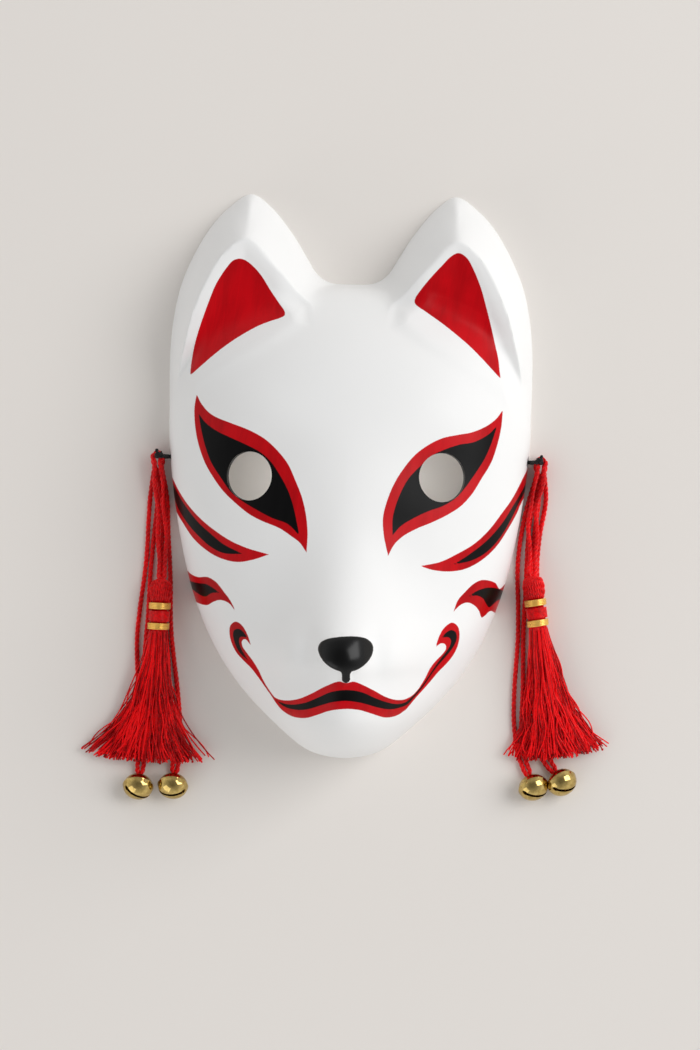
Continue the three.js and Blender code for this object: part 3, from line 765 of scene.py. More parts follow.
def ear_height(x, y):
    """The ear's height, and how deep each point lies inside the ear's front."""
    height, behind = np.zeros(len(x)), np.zeros(len(x))
    near = y > 0.16 * HALF_LENGTH
    points = np.stack([np.abs(x[near]), y[near]], axis=1)
    edge = nearest(ear_edge, points)
    front = is_inside(ear_front, points)
    to_field = nearest(ear_field, points)
    gap = np.where(front, 0, to_field)
    ys, zs = np.array(RIDGE_HEIGHTS).T
    ridge = np.interp(points[:, 1] / HALF_LENGTH, ys, zs) * MASK_DEPTH
    ridge -= RIDGE_END_DROP * (1 - smooth_step(points[:, 0] / HALF_WIDTH, *RIDGE_END))
    bevel = ridge * (edge / np.maximum(edge + gap, 1e-9)) ** BEVEL_POWER
    dip = np.where(front, 1 - np.exp(-((to_field / HOLLOW_REACH) ** 2)), 0)
    face = ridge - dip * HOLLOW_DEPTH * MASK_DEPTH
    height[near] = np.maximum(soft_min(bevel, face + RIDGE_SOFTNESS, RIDGE_SOFTNESS), 0)
    behind[near] = np.where(front, to_field, 0)
    return height, behind


def face_height(x, y):
    head = head_height(x, y)
    ear, behind = ear_height(x, y)
    top = np.maximum(head, ear)
    softness = JOIN_SOFTNESS * top / (top + 3 * WALL) + FIELD_SOFTNESS * smooth_step(behind, *FIELD_FADE)
    to_end = np.hypot(np.abs(x) - END_PLACE[0] * HALF_WIDTH, y - END_PLACE[1] * HALF_LENGTH)
    softness += END_SOFTNESS * np.exp(-((to_end / END_REACH) ** 2)) * top / (top + 3 * WALL)
    return np.where(top > 0, soft_max(head, ear, softness), 0)


print("height at the nose", round(float(face_height(np.zeros(1), np.array([-0.62 * HALF_LENGTH]))[0]), 4))

# %% [markdown]
# ## The shell
# The outer face is a net of rays and rings that starts at the muzzle and ends at the rim, with
# rings closer together where the side gets steep. The inner face lies one wall's thickness behind
# it everywhere: the outer heights on a fine raster are lowered as a ball of that size would reach.

# %% Build the outer and inner face
RAYS = 560
OUTER_RINGS = 146
INNER_RINGS = 18
NET_MIDDLE = np.array((0, -0.23 * HALF_LENGTH))
RASTER = 0.5 * MM
RASTER_MARGIN = 5 * MM


def raised_net(rim, rings, height_of):
    shares = np.sin(np.linspace(0, math.pi / 2, rings + 1))[:0:-1]
    flat = (NET_MIDDLE + shares[:, None, None] * (rim - NET_MIDDLE)[None]).reshape(-1, 2)
    z = height_of(flat[:, 0], flat[:, 1])
    z[: len(rim)] = 0
    return np.concatenate([flat, z[:, None]], axis=1)


def net_faces(first, rings):
    tip = first + rings * RAYS
    return ring_faces(first, rings, RAYS) + tip_faces(tip - RAYS, RAYS, tip)


def lowered_by_wall():
    """The inner face's height on a raster, as if a ball rolled behind the outer face."""
    xs, ys = (
        np.arange(-half - RASTER_MARGIN, half + RASTER_MARGIN, RASTER) for half in (HALF_WIDTH, HALF_LENGTH)
    )
    gx, gy = np.meshgrid(xs, ys, indexing="ij")
    flat = np.stack([gx.ravel(), gy.ravel()], axis=1)
    z = np.where(is_inside(rim_line, flat), face_height(flat[:, 0], flat[:, 1]), -WALL).reshape(gx.shape)
    low = z - WALL
    reach = int(WALL / RASTER)
    for i in range(-reach, reach + 1):
        for j in range(-reach, reach + 1):
            away = (i * i + j * j) * RASTER**2
            if away <= WALL**2:
                low = np.minimum(low, np.roll(z, (i, j), axis=(0, 1)) - math.sqrt(WALL**2 - away))
    return xs, ys, low


def read_raster(xs, ys, values, x, y):
    fx, fy = (x - xs[0]) / RASTER, (y - ys[0]) / RASTER
    ix, iy = fx.astype(int), fy.astype(int)
    sx, sy = fx - ix, fy - iy
    near = values[ix, iy] * (1 - sy) + values[ix, iy + 1] * sy
    far = values[ix + 1, iy] * (1 - sy) + values[ix + 1, iy + 1] * sy
    return near * (1 - sx) + far * sx


def inner_rim(rim):
    """The rim drawn in by the wall, found on each ray by halving."""
    low, high = np.full(len(rim), 0.6), np.ones(len(rim))
    closed = np.concatenate([rim_line, rim_line[:1]])
    for _ in range(16):
        middle = (low + high) / 2
        points = NET_MIDDLE + middle[:, None] * (rim - NET_MIDDLE)
        deep = nearest(closed, points) > WALL
        low, high = np.where(deep, middle, low), np.where(deep, high, middle)
    return NET_MIDDLE + low[:, None] * (rim - NET_MIDDLE)


rim = evenly(np.concatenate([rim_line, rim_line[:1]]), RAYS + 1)[:-1]
outer = raised_net(rim, OUTER_RINGS, face_height)
raster = lowered_by_wall()
inner = raised_net(inner_rim(rim), INNER_RINGS, lambda x, y: np.maximum(read_raster(*raster, x, y), 0))
tips = np.array([[*NET_MIDDLE, 0.0], [*NET_MIDDLE, 0.0]])
tips[0, 2] = face_height(tips[:1, 0], tips[:1, 1])[0]
tips[1, 2] = tips[0, 2] - WALL
print("outer points", len(outer), "inner points", len(inner))

# %% [markdown]
# ## Eye holes and tie holes
# The holes are cut through both faces with round pins. An eye hole looks a little outwards, square
# to the face there. The edges that the cut leaves are marked sharp, so that they shade crisply.

# %% Join the faces and cut the holes
EYE_PIN_LENGTH, TIE_PIN_LENGTH = 40 * MM, 18 * MM
SHARP_ANGLE = math.radians(48)

inner_start = OUTER_RINGS * RAYS + 1
edge = [((i + 1) % RAYS, i, inner_start + i, inner_start + (i + 1) % RAYS) for i in range(RAYS)]
outside = net_faces(0, OUTER_RINGS) + edge
shell_faces = outside + flipped(net_faces(inner_start, INNER_RINGS))
mask = mesh_piece("painted_mask", np.concatenate([outer, tips[:1], inner, tips[1:]]), shell_faces)
mask.data.polygons.foreach_set("material_index", np.arange(len(shell_faces)) >= len(outside))

pins = []
for side, (x, y) in EYE_PLACES.items():
    z = head_height(np.array([x]), np.array([y]))[0]
    outwards = (SIGN[side] * math.sin(EYE_TILT), 0, math.cos(EYE_TILT))
    hole = (SIGN[side] * TIE_SIDE, TIE_ALONG, TIE_HOLE_HEIGHT)
    pins.append(pin((x, y, z), outwards, EYE_HOLE_DIAMETER, EYE_PIN_LENGTH, 72))
    pins.append(pin(hole, (1, 0, 0), TIE_HOLE_DIAMETER, TIE_PIN_LENGTH, 32))
cut_out(mask, pins, SHARP_ANGLE)
mask_mesh = mask.data
mask_mesh.name = "painted_mask"
print("mask faces", len(mask_mesh.polygons))

# %% [markdown]
# ## The painted marks
# The marks are painted by hand, so the two sides differ a little. Each is drawn as one or two brush
# edges, in pixels of the photograph, and laid on the mask by looking through the camera. Every point
# of the mask keeps its distance to the nearest edge of red and of black, which the paint reads.

# %% Outlines of the marks
RED_MARKS = {
    "left ear": [[
        (190, 375.7), (191.6, 361), (195, 343), (201, 323), (208, 303.5), (216, 284), (227, 267),
        (233, 260.5), (240, 258.6), (246, 260.5), (253, 266), (261, 275), (271, 291), (279, 303),
        (284.5, 311), (285, 315), (281, 317.6), (269, 321.6), (257, 326.5), (244, 333.6),
        (230, 342.5), (216, 353), (202, 365), (190, 375.7),
    ]],
    "right ear": [[
        (500.7, 379), (499.5, 370), (498.5, 360), (495, 344), (491, 326), (486, 306), (481, 288),
        (474, 270.5), (467, 258), (459, 253), (451, 256.5), (443, 264.6), (430, 278.5), (420, 291),
        (414.6, 299.6), (415, 303.6), (427, 312.6), (441, 322.6), (455, 333.6), (469, 345.6),
        (482, 358.6), (493, 370.6), (500.7, 379),
    ]],
    "left eye": [
        [(196.7, 394), (201, 403), (208.5, 412), (216, 417), (231, 423), (249, 430), (265, 439),
         (277, 450), (288, 464), (295, 479.5), (301.6, 496), (306, 515), (307.6, 533), (306.5, 553)],
        [(306.5, 553), (300, 543), (291, 536), (279, 528), (262, 521), (249, 514), (236.5, 504),
         (224, 492), (213.6, 478), (204.6, 462), (198, 442.5), (195, 425), (194.4, 408), (196.7, 394)],
    ],
    "right eye": [
        [(503, 409.6), (496, 419), (485, 427), (471, 432.5), (457, 435), (443, 438), (430, 444),
         (416, 454), (404, 468), (394, 484), (387, 501), (383, 517.5), (383.6, 534), (388, 556)],
        [(388, 556), (394, 545), (402, 537), (416, 529), (433, 522), (449, 514), (461, 506),
         (472, 494), (482, 478), (491, 463), (497, 446), (501, 429), (503, 409.6)],
    ],
    "left cheek": [
        [(160, 455), (171.5, 476), (179, 491), (189, 506), (202, 520), (217, 532), (231, 541),
         (247, 548), (269, 554.4)],
        [(269, 554.4), (252, 560), (236.5, 562), (220, 558), (206, 550), (193, 538), (183, 523),
         (175, 509), (171, 495), (162, 470)],
    ],
    "right cheek": [
        [(420, 566), (440, 562), (457, 554), (474, 544), (489, 530), (502, 513), (512, 499),
         (523, 478), (536, 450)],
        [(540, 470), (521, 503.5), (517, 513), (507.5, 530), (496, 547), (482, 560), (465, 569),
         (449, 571.5), (433, 570), (420, 566)],
    ],
    "left leaf": [
        [(182, 562), (185.8, 568.5), (191, 574), (198, 577), (207.5, 577), (216, 582), (224, 592),
         (230, 600), (236.6, 613)],
        [(236.6, 613), (228.6, 603), (220, 600), (213, 602), (207.5, 605), (200.5, 604), (193, 600),
         (185, 592)],
    ],
    "right fin": [
        [(453.4, 612), (458, 600), (465, 592), (474, 583.5), (482, 580), (491, 581), (496, 583.5),
         (499.5, 589), (506, 583)],
        [(498, 615), (490.5, 611), (485, 615.6), (481.6, 617.6), (479, 611), (475, 606), (468, 602.6),
         (461, 604.6), (453.4, 612)],
    ],
    "left swirl": [
        [(251, 645.6), (248, 636), (244, 628), (240, 623.5), (235.6, 621.6), (230.6, 625), (229.4, 632),
         (231, 641), (236, 652), (244, 661), (251, 668), (258, 677), (266.5, 689), (275, 701)],
        [(279, 703), (271, 692.6), (264, 681.6), (258, 669), (252, 659.6), (247, 653), (242.4, 646),
         (242, 641), (245, 639), (251, 645.6)],
    ],
    "right swirl": [
        [(435.6, 647), (439, 636.6), (444, 628), (452, 622.6), (457.6, 626), (459.6, 634), (458, 645),
         (453.4, 655), (446.6, 663.6), (438.6, 671.6), (432.4, 679), (425, 687.6), (416, 697.6), (405, 711)],
        [(402, 700.4), (411, 696.4), (418.4, 689), (425, 680), (428.6, 672.6), (431.6, 666), (437, 659.6),
         (443, 653.4), (446.2, 648), (445, 644.2), (441, 643.4), (435.6, 647)],
    ],
    "mouth": [
        [(268, 690), (272.6, 695.6), (278, 699), (286, 700.4), (298, 699), (310.5, 694), (324, 687),
         (339, 681.4), (346, 683), (354, 681.6), (363, 685), (375, 691), (386, 697), (398, 700),
         (409, 698), (416, 692), (424, 680), (430, 668)],
        [(429, 679), (418, 693), (407, 708), (398, 715), (386, 717.6), (372.5, 714), (359, 710),
         (345, 709), (329, 711), (317, 715), (306, 718), (294, 717), (283, 711), (276, 703), (268, 690)],
    ],
}
BLACK_MARKS = {
    "left eye": [
        [(198.6, 413.6), (206, 423), (217, 431), (233, 438.6), (249, 446), (261, 452.6), (271.4, 462.4),
         (280.6, 476.4), (287.8, 490), (293.4, 506.6), (299.4, 535.6)],
        [(299.4, 535.6), (287.6, 524), (272, 518), (257, 510), (242, 501), (231, 492), (221, 478),
         (211, 462), (204.6, 444), (201, 428.5), (198.6, 413.6)],
    ],
    "right eye": [
        [(497.4, 425), (489, 434), (474, 442), (460, 444.5), (446, 449), (433, 455), (420.5, 466),
         (409, 478), (401, 492), (395, 508), (392.5, 520), (392.6, 535.4)],
        [(392.6, 535.4), (401, 526), (415, 517.5), (429, 511), (443, 506), (456, 498), (465, 488),
         (475, 474), (484, 460), (491, 444.5), (497.4, 425)],
    ],
    "left cheek": [
        [(164, 465), (176.6, 491), (185.5, 506), (198, 522), (211, 534), (224, 544.5), (243, 554)],
        [(243, 554), (224, 553.2), (211, 547), (199.5, 537), (188, 524), (178, 508), (171.5, 490),
         (163, 468)],
    ],
    "right cheek": [
        [(450, 565), (458, 561.6), (474, 551), (489, 538.5), (503, 522), (513, 506), (523, 489), (538, 458)],
        [(539, 466), (520, 501), (512, 517.5), (500.5, 537), (488, 551), (474, 559.6), (460, 563.4),
         (450, 565)],
    ],
    "left leaf": [
        [(184, 578), (189, 580.6), (198, 583), (206, 584), (213, 588), (220, 593)],
        [(220, 593), (212, 593), (205, 596.6), (198, 593.6), (190, 587), (184, 581)],
    ],
    "right fin": [
        [(467.6, 597), (474, 592.6), (479, 590), (488, 587.6), (497.6, 588.6), (506, 592)],
        [(506, 597), (497, 601), (489, 607.4), (486, 603.6), (483, 598.6), (477, 595.6), (467.6, 597)],
    ],
    "left swirl": [
        [(247.4, 637.6), (243, 631.6), (238.4, 628.6), (234, 630.4), (233, 635), (235, 643.6),
         (239.6, 652.6), (248.4, 661)],
        [(248.4, 661), (243, 652), (240.6, 647), (239, 641), (240.4, 637), (247.4, 637.6)],
    ],
    "right swirl": [
        [(441.6, 638), (446, 632.6), (451.6, 630), (455.8, 632.4), (456.8, 638), (454.4, 645),
         (449.6, 652), (443, 659.8), (436, 668), (430, 676.6), (423.6, 686), (416.6, 694.6), (409.6, 702)],
        [(408, 700.6), (415.4, 693.4), (422.4, 685), (428.8, 675.8), (434.6, 667), (441.4, 657.8),
         (446.8, 651), (450.4, 644.6), (450.8, 639.8), (448, 637.2), (441.6, 638)],
    ],
    "mouth": [
        [(275, 699.4), (280, 702), (289, 704.5), (304, 703), (317, 698), (331, 692), (346, 690),
         (361, 692), (375, 698), (386, 702), (398, 704), (408, 701), (417, 692)],
        [(417, 693), (408, 704), (400, 707.6), (390, 709.4), (377, 707.4), (363, 703.4), (347, 701),
         (333.5, 702), (322, 705), (309, 709), (298, 710), (285, 707), (275, 699.4)],
    ],
}
NOSE_MARK = {
    "nose": [
        [(346, 683.6), (342, 680.8)],
        [(342, 680.8), (341.7, 673.4), (340.6, 671.8), (336, 670), (330, 667), (323.6, 661.4), (319.6, 655),
         (318, 648.6), (320, 643), (325.6, 639.4), (333, 637.6), (342, 636.6), (352, 636.2), (360, 636.8),
         (367, 638.8), (371.8, 643), (373.4, 648.4), (372, 655), (368.4, 661), (362, 667), (356, 670.2),
         (351.4, 671.8), (350.3, 673.4), (350.2, 680.8)],
        [(350.2, 680.8), (346, 683.6)],
    ],
}
BLACK_MARKS.update(NOSE_MARK)

# %% [markdown]
# The distances are kept in millimetres: above nought is inside the paint. The black nose is a
# little raised, with a soft edge, and the mouth's black line lies in a shallow groove.

# %% Lay the marks on the mask
MARK_MARGIN = 8
NOSE_RAISE, NOSE_EDGE, NOSE_START = 1.3 * MM, 4.4, -1.2
GROOVE_DEPTH, GROOVE_EDGE = 0.35 * MM, 2.5


def mark_distance(marks, pixels):
    """How far each pixel lies inside the nearest mark, in photo pixels."""
    depth = np.full(len(pixels), -float(MARK_MARGIN))
    for edges in marks.values():
        line = np.concatenate([smooth_line(edge, 6) for edge in edges])
        low, high = line.min(axis=0) - MARK_MARGIN, line.max(axis=0) + MARK_MARGIN
        near = ((pixels > low) & (pixels < high)).all(axis=1)
        some = pixels[near]
        away = nearest(np.concatenate([line, line[:1]]), some)
        inside = is_inside(line, some)
        depth[near] = np.maximum(depth[near], np.where(inside, away, -away))
    return np.clip(depth, -MARK_MARGIN, MARK_MARGIN)


points = np.empty(len(mask_mesh.vertices) * 3)
mask_mesh.vertices.foreach_get("co", points)
points = points.reshape(-1, 3)
on_top = np.zeros(len(points), dtype=bool)
for polygon in mask_mesh.polygons:
    if polygon.material_index == 0:
        on_top[list(polygon.vertices)] = True
pixels = photo_places(points)
nose = mark_distance(NOSE_MARK, pixels)
mouth = mark_distance({"mouth": BLACK_MARKS["mouth"]}, pixels)
share = np.clip((nose - NOSE_START) / NOSE_EDGE, 0, 1)
relief = NOSE_RAISE * np.sqrt(share * (2 - share))
relief -= GROOVE_DEPTH * smooth_step(mouth, -GROOVE_EDGE, GROOVE_EDGE)
points[:, 2] += np.where(on_top, relief, 0)
mask_mesh.vertices.foreach_set("co", points.ravel())
mask_mesh.update()
for name, marks in (("red paint", RED_MARKS), ("black paint", BLACK_MARKS), ("nose paint", NOSE_MARK)):
    attribute = mask_mesh.attributes.new(name, "FLOAT", "POINT")
    attribute.data.foreach_set("value", (mark_distance(marks, pixels) * PIXEL / MM).astype(np.float32))
print("marks laid on", int(on_top.sum()), "points")

# %% [markdown]
# ## Paint
# The ground is a satin white, put on in many thin coats. Red and black are brushed over it, so their
# edges are crisp but not perfect, and long brush streaks show in the light. The inside has only a
# plain matt coat. The brass of the bells uses the same group of streaks for its faint wear.

# %% Paint finishes
WHITE_PAINT, WHITE_SHADE = (0.9, 0.9, 0.895, 1), (0.87, 0.87, 0.865, 1)
RED_PAINT, RED_SHADE = (0.58, 0.0015, 0.006, 1), (0.42, 0.0008, 0.004, 1)
BLACK_PAINT, BLACK_SHADE = (0.0008, 0.0008, 0.0009, 1), (0.0022, 0.002, 0.0023, 1)
WHITE_ROUGHNESS = (0.36, 0.42)
PAINT_SMOOTHER, NOSE_SMOOTHER = -0.06, -0.1
EDGE_SOFTNESS = 0.12
EDGE_WOBBLE = 0.22
PATCHES, GRAINS = 26.0, 1400.0


def streak_group():
    """Faint brush streaks, broad patches and fine grain of a hand-painted surface."""
    tree, given = new_tree(
        "brush streaks", "ShaderNodeTree", {"Fineness": 190.0, "Stretch": 0.16, "Slant": 0.5}
    )
    place = tree.add("ShaderNodeTexCoord")["Object"]
    parts = tree.add("ShaderNodeSeparateXYZ", [place])
    along = (parts["Y"] + parts["X"].maths("ABSOLUTE") * given["Slant"]) * given["Stretch"]
    pulled = tree.combine(parts["X"] - parts["Y"] * 0.12, along, parts["Z"] * 0.4)
    streak = tree.noise(pulled, given["Fineness"], 4.0, Roughness=0.65, Distortion=0.6)
    patch, grain = tree.noise(place, PATCHES), tree.noise(place, GRAINS)
    return tree.close("Float", Streak=streak, Patch=patch, Grain=grain)


STREAKS = streak_group()


def paint_inputs(tree):
    streaks = tree.group(STREAKS)
    streak, patch, grain = (streaks[name] for name in ("Streak", "Patch", "Grain"))
    wobble = (grain - 0.5) * EDGE_WOBBLE
    red, black, nose = (
        tree.span(tree.kept(f"{name} paint") + wobble, -EDGE_SOFTNESS, EDGE_SOFTNESS)
        for name in ("red", "black", "nose")
    )
    level = tree.span(streak + (patch - 0.5), 0.3, 0.7)
    colour = tree.mix(red, tree.mix(patch, WHITE_PAINT, WHITE_SHADE), tree.mix(level, RED_PAINT, RED_SHADE))
    painted = red.maths("MAXIMUM", black)
    rough = tree.span(streak, 0.3, 0.7, *WHITE_ROUGHNESS)
    height = streak * ((painted + 0.15) * (nose * -1.0 + 1.0)) + painted * 0.9 + grain * 0.1
    return {
        "Base Color": tree.mix(black, colour, tree.mix(level, BLACK_PAINT, BLACK_SHADE)),
        "Roughness": rough + painted * PAINT_SMOOTHER + nose * NOSE_SMOOTHER,
        "Specular IOR Level": 0.11,
        "Coat Weight": nose * 0.35,
        "Coat Roughness": 0.24,
        "Normal": tree.bump(height, 0.3, 0.12 * MM),
    }


def inside_inputs(tree):
    streaks = tree.group(STREAKS)
    return {
        "Base Color": tree.mix(streaks["Patch"], (0.72, 0.7, 0.66, 1), (0.62, 0.6, 0.56, 1)),
        "Roughness": 0.75,
        "Normal": tree.bump(streaks["Streak"], 0.35, 0.3 * MM),
    }


coats = np.empty(len(mask_mesh.polygons), dtype=np.int32)
mask_mesh.polygons.foreach_get("material_index", coats)
mask_mesh.materials.clear()
mask_mesh.materials.append(new_finish("white, red and black paint", paint_inputs))
mask_mesh.materials.append(new_finish("plain coat inside", inside_inputs))
mask_mesh.polygons.foreach_set("material_index", coats)
print("paint finishes:", [finish.name for finish in mask_mesh.materials])

# %% [markdown]
# ## Black ties
# A thin black cord comes out of the mask through the hole, hangs in an upright loop and goes back.
# Outside it is tied in a small knot with a short cut end. Inside, a bigger knot keeps it from being
# pulled out. The plies are made by the cord tree again.

# %% Tie the black cords
TIE_KNOT_DIAMETER = 6.6 * MM
TIE_END_KNOT_DIAMETER = 4.4 * MM


def knot_line(place, diameter, cord):
    """A trefoil knot that fits in a ball, as a closed line."""
    turns = np.linspace(0, 2 * np.pi, 61)[:-1]
    size = (diameter - cord) / 2 / 3
    return np.array(place) + size * np.stack(
        [
            np.sin(turns) + 2 * np.sin(2 * turns),
            1.1 * np.sin(3 * turns) + 0.5 * np.sin(turns),
            np.cos(turns) - 2 * np.cos(2 * turns),
        ],
        axis=1,
    )


def black_tie(side):
    r, along = TIE_CORD_DIAMETER / 2, SIGN[side]
    foot, out, wall_in = r + CLEARANCE / 2, TIE_SIDE + TIE_REACH, TIE_SIDE - WALL - r
    low, high = TIE_HOLE_HEIGHT - 0.9 * r, TIE_HOLE_HEIGHT + 0.9 * r
    head = foot + TIE_LOOP_HEIGHT
    corners = [
        (wall_in, low), (TIE_SIDE - r, low), (TIE_SIDE + r, low - r), (out - 3 * r, foot),
        (out - r, foot), (out, foot + r), (out, head - r), (out - r, head), (out - 3 * r, head),
        (TIE_SIDE + r, high + r), (TIE_SIDE - r, high), (wall_in, high),
    ]
    loop = smooth_line([(along * x, TIE_ALONG, z) for x, z in corners], 8)
    inner_knot = (along * (TIE_SIDE - WALL - CLEARANCE - TIE_KNOT_DIAMETER / 2), TIE_ALONG, TIE_HOLE_HEIGHT)
    outer_knot = (along * (out - r), TIE_ALONG + r, head + 0.4 * r)
    tail = smooth_line([outer_knot, *((along * out, TIE_ALONG + y * r, head) for y in (2.2, 3.2))], 6)
    lines = [
        (loop, 2 * r, False),
        (knot_line(inner_knot, TIE_KNOT_DIAMETER, 1.5 * r), 1.5 * r, True),
        (knot_line(outer_knot, TIE_END_KNOT_DIAMETER, 1.5 * r), 1.5 * r, True),
        (tail, 1.6 * r, False),
    ]
    values = {"Plies": 2, "Turn": 3.6 * MM, "Step": 0.35 * MM, "Finish": BLACK_CORD}
    return join_pieces(f"{side}_black_cord", [
        grow(TWISTED_CORD, curve_piece("line", [line], closed), "cord", {**values, "Diameter": size})
        for line, size, closed in lines
    ])


ties = {side: black_tie(side) for side in SIGN}
print({side: len(piece.data.polygons) for side, piece in ties.items()})

# %% [markdown]
# ## Tassels
# A tassel is a hank of fine silk threads. They are folded over at the head, bound tightly at the
# neck and cut off level at the skirt. Lying down, the skirt fans out on the floor. One rule makes all
# the threads: each starts at its own place in the neck and spreads with the distance, so the node
# tree sets every thread from its number and a few seeded random values.

# %% Frame of a tassel
SKIRT_ENDS = {"left": (6.6, -140), "right": (13.6, -136.5)}
SKIRT_WIDTHS = {"left": 50 * MM, "right": 41 * MM}
SKIRT_LEANS = {"left": -3 * MM, "right": 2.5 * MM}
CORD_THICKNESS = 2.3 * MM
TASSEL_FLOOR = CORD_THICKNESS + 2 * CLEARANCE
TASSEL_HEIGHT = TASSEL_FLOOR + HEAD_DIAMETER / 2
NECK_START = HEAD_LENGTH + CLEARANCE
NECK_LENGTH = 2 * GOLD_BAND_LENGTH + RED_BAND_LENGTH + 4 * CLEARANCE


def tassel_frame(side):
    """Turns a tassel's own places (across, down, up) into the mask's frame."""
    loop_end = cord_middle(side, "tassel_loop")[-1]
    end = from_tie(side, [(*SKIRT_ENDS[side], 0)])[0]
    down = np.array([end[0] - loop_end[0], end[1] - loop_end[1], 0])
    down /= np.linalg.norm(down)
    across = np.array([-down[1], down[0], 0])
    start = np.array([loop_end[0], loop_end[1], 0]) + down * LOOP_GAP
    matrix = Matrix.Identity(4)
    for row in range(3):
        matrix[row][0], matrix[row][1], matrix[row][2] = across[row], down[row], float(row == 2)
        matrix[row][3] = start[row]
    return matrix


def lay_in_frame(piece, matrix):
    """Moves a piece into the mask's frame. That mirrors it, so its faces are turned back."""
    piece.data.transform(matrix)
    piece.data.flip_normals()


print("tassel starts at", [round(v * 1000, 1) for v in tassel_frame("left").translation])

# %% [markdown]
# ## The skirt of threads
# The tree makes a straight line for each thread, then moves its points. The inputs are the number of
# threads, the lengths, the spread and the waviness. Neighbouring threads cling together in locks.

# %% Node tree of the skirt
SKIRT_CUT = 0.96
SKIRT_BEND = -0.025
SIDE_SINK = 1.6 * MM


def skirt_tree():
    tree, given = new_tree("skirt of threads", "GeometryNodeTree", {
        "Geometry": "Geometry", "Threads": 600, "Points": 26, "Length": SKIRT_LENGTH,
        "Neck": NECK_DIAMETER / 2, "Spread": 0.025, "Body": 0.012, "Splay": 3.6, "Lean": 0.0,
        "Thickness": 0.003, "Height": TASSEL_HEIGHT, "End Height": 0.005, "Wave": 0.0024, "Locks": 1.0,
        "End Knot": 0.0, "Thread Radius": 0.00028, "Floor": 0.0026, "Seed": 1, "Finish": "Material",
    })
    seeds = iter(range(1, 20))

    def chance(low, high):
        inputs = {2: low, 3: high, "ID": number["Thread"], "Seed": given["Seed"] + float(next(seeds))}
        return tree.add("FunctionNodeRandomValue", inputs, data_type="FLOAT")[1]

    spots = tree.geometry("Points", {"Count": given["Threads"]})[0]
    line = tree.geometry("CurvePrimitiveLine", {"End": (0.0, 1.0, 0.0)})[0]
    line = tree.geometry("ResampleCurve", {"Curve": line, "Count": given["Points"]})[0]
    many = tree.geometry("InstanceOnPoints", {"Points": spots, "Instance": line})[0]
    many = tree.geometry("RealizeInstances", {"Geometry": many})[0]
    number = tree.geometry(
        "CaptureAttribute", {"Geometry": many, "Thread": tree.geometry("InputIndex")[0]},
        captures=[("INT", "Thread")], domain="CURVE",
    )
    far = tree.geometry("SplineParameter")["Factor"]

    round_angle = chance(0.0, 2 * math.pi)
    reach = chance(0.0, 1.0) ** 0.5
    across, upward = reach * round_angle.maths("COSINE"), reach * round_angle.maths("SINE")
    lock = tree.noise(tree.combine(across * 7.0, given["Seed"]), 1.0, 1.0)
    fan = across + ((lock - 0.5) * given["Locks"] + chance(-0.2, 0.2)) * far
    body = (given["Body"] - given["Neck"]) * far
    splay = (given["Spread"] - given["Body"]) * far ** given["Splay"]
    sideways = fan * (given["Neck"] + (body + splay)) + given["Lean"] * (far * far)
    turns = far * chance(0.7, 3.0) + chance(0.0, 1.0)
    swing = (turns * (2 * math.pi)).maths("SINE")
    sideways = sideways + swing * given["Wave"] * (far * chance(0.1, 1.0))

    down = far * given["Length"] * (fan * fan * SKIRT_BEND + SKIRT_CUT + chance(-0.06, 0.02))

    half = given["Neck"] + (given["Thickness"] - given["Neck"]) * far ** 0.6
    middle = given["Height"] + (given["End Height"] - given["Height"]) * far - fan * fan * far * SIDE_SINK
    height = (middle + upward * half).maths("MAXIMUM", given["Floor"] + given["Thread Radius"])

    place = tree.combine(sideways, down, height)
    moved = tree.geometry("SetPosition", {"Geometry": number["Geometry"], "Position": place})[0]
    moved = tree.geometry(
        "StoreNamedAttribute", {"Geometry": moved, "Name": "tone", "Value": chance(-1.0, 1.0)},
        data_type="FLOAT", domain="CURVE",
    )[0]
    ends = tree.geometry("CurveEndpointSelection", {"Start Size": 0, "End Size": 1})[0]
    knot = tree.geometry("MeshIcoSphere", {"Radius": given["End Knot"], "Subdivisions": 1})["Mesh"]
    knots = tree.geometry("InstanceOnPoints", {"Points": moved, "Selection": ends, "Instance": knot})[0]
    both = tree.geometry("JoinGeometry", {"Geometry": [tree.tube(moved, 4, given["Thread Radius"]), knots]})
    return tree.close_mesh(both[0], given["Finish"])


SKIRT = skirt_tree()
print("skirt tree has", len(SKIRT.nodes), "nodes")

# %% [markdown]
# ## The wound head and the neck
# The threads run over the head from top to neck like the ribs of a melon, round a solid core. The
# same outline turns the core and bends the threads.

# %% Make the tassels
HEAD_FORM = [(0, 0.3), (0.05, 0.55), (0.12, 0.78), (0.25, 0.94), (0.45, 1), (0.75, 0.98), (1, 0.86)]
HEAD_THREADS = 26
CORE_SHARE = 0.88
THREAD_RADIUS = 0.3 * MM
SKIRT_SEEDS, LOOSE_SEEDS = {"left": 3, "right": 8}, {"left": 21, "right": 34}


def head_outline(share):
    line = smooth_line([(s * HEAD_LENGTH, w * HEAD_DIAMETER / 2) for s, w in HEAD_FORM], 4)
    return [(0, 0.0), *[(a, r * share) for a, r in line], (NECK_START, NECK_DIAMETER / 2 * share)]


def head_core():
    outline = [*head_outline(CORE_SHARE)[1:], (NECK_START + NECK_LENGTH + 1 * MM, NECK_DIAMETER / 2)]
    points = [(r * c, down, TASSEL_HEIGHT + r * s) for down, r in outline for c, s in around(32)]
    points = [(0, 0, TASSEL_HEIGHT), *points, (0, outline[-1][0], TASSEL_HEIGHT)]
    return mesh_piece("core", points, flipped(ball_faces(0, len(outline), 32)), finish=RED_SILK)


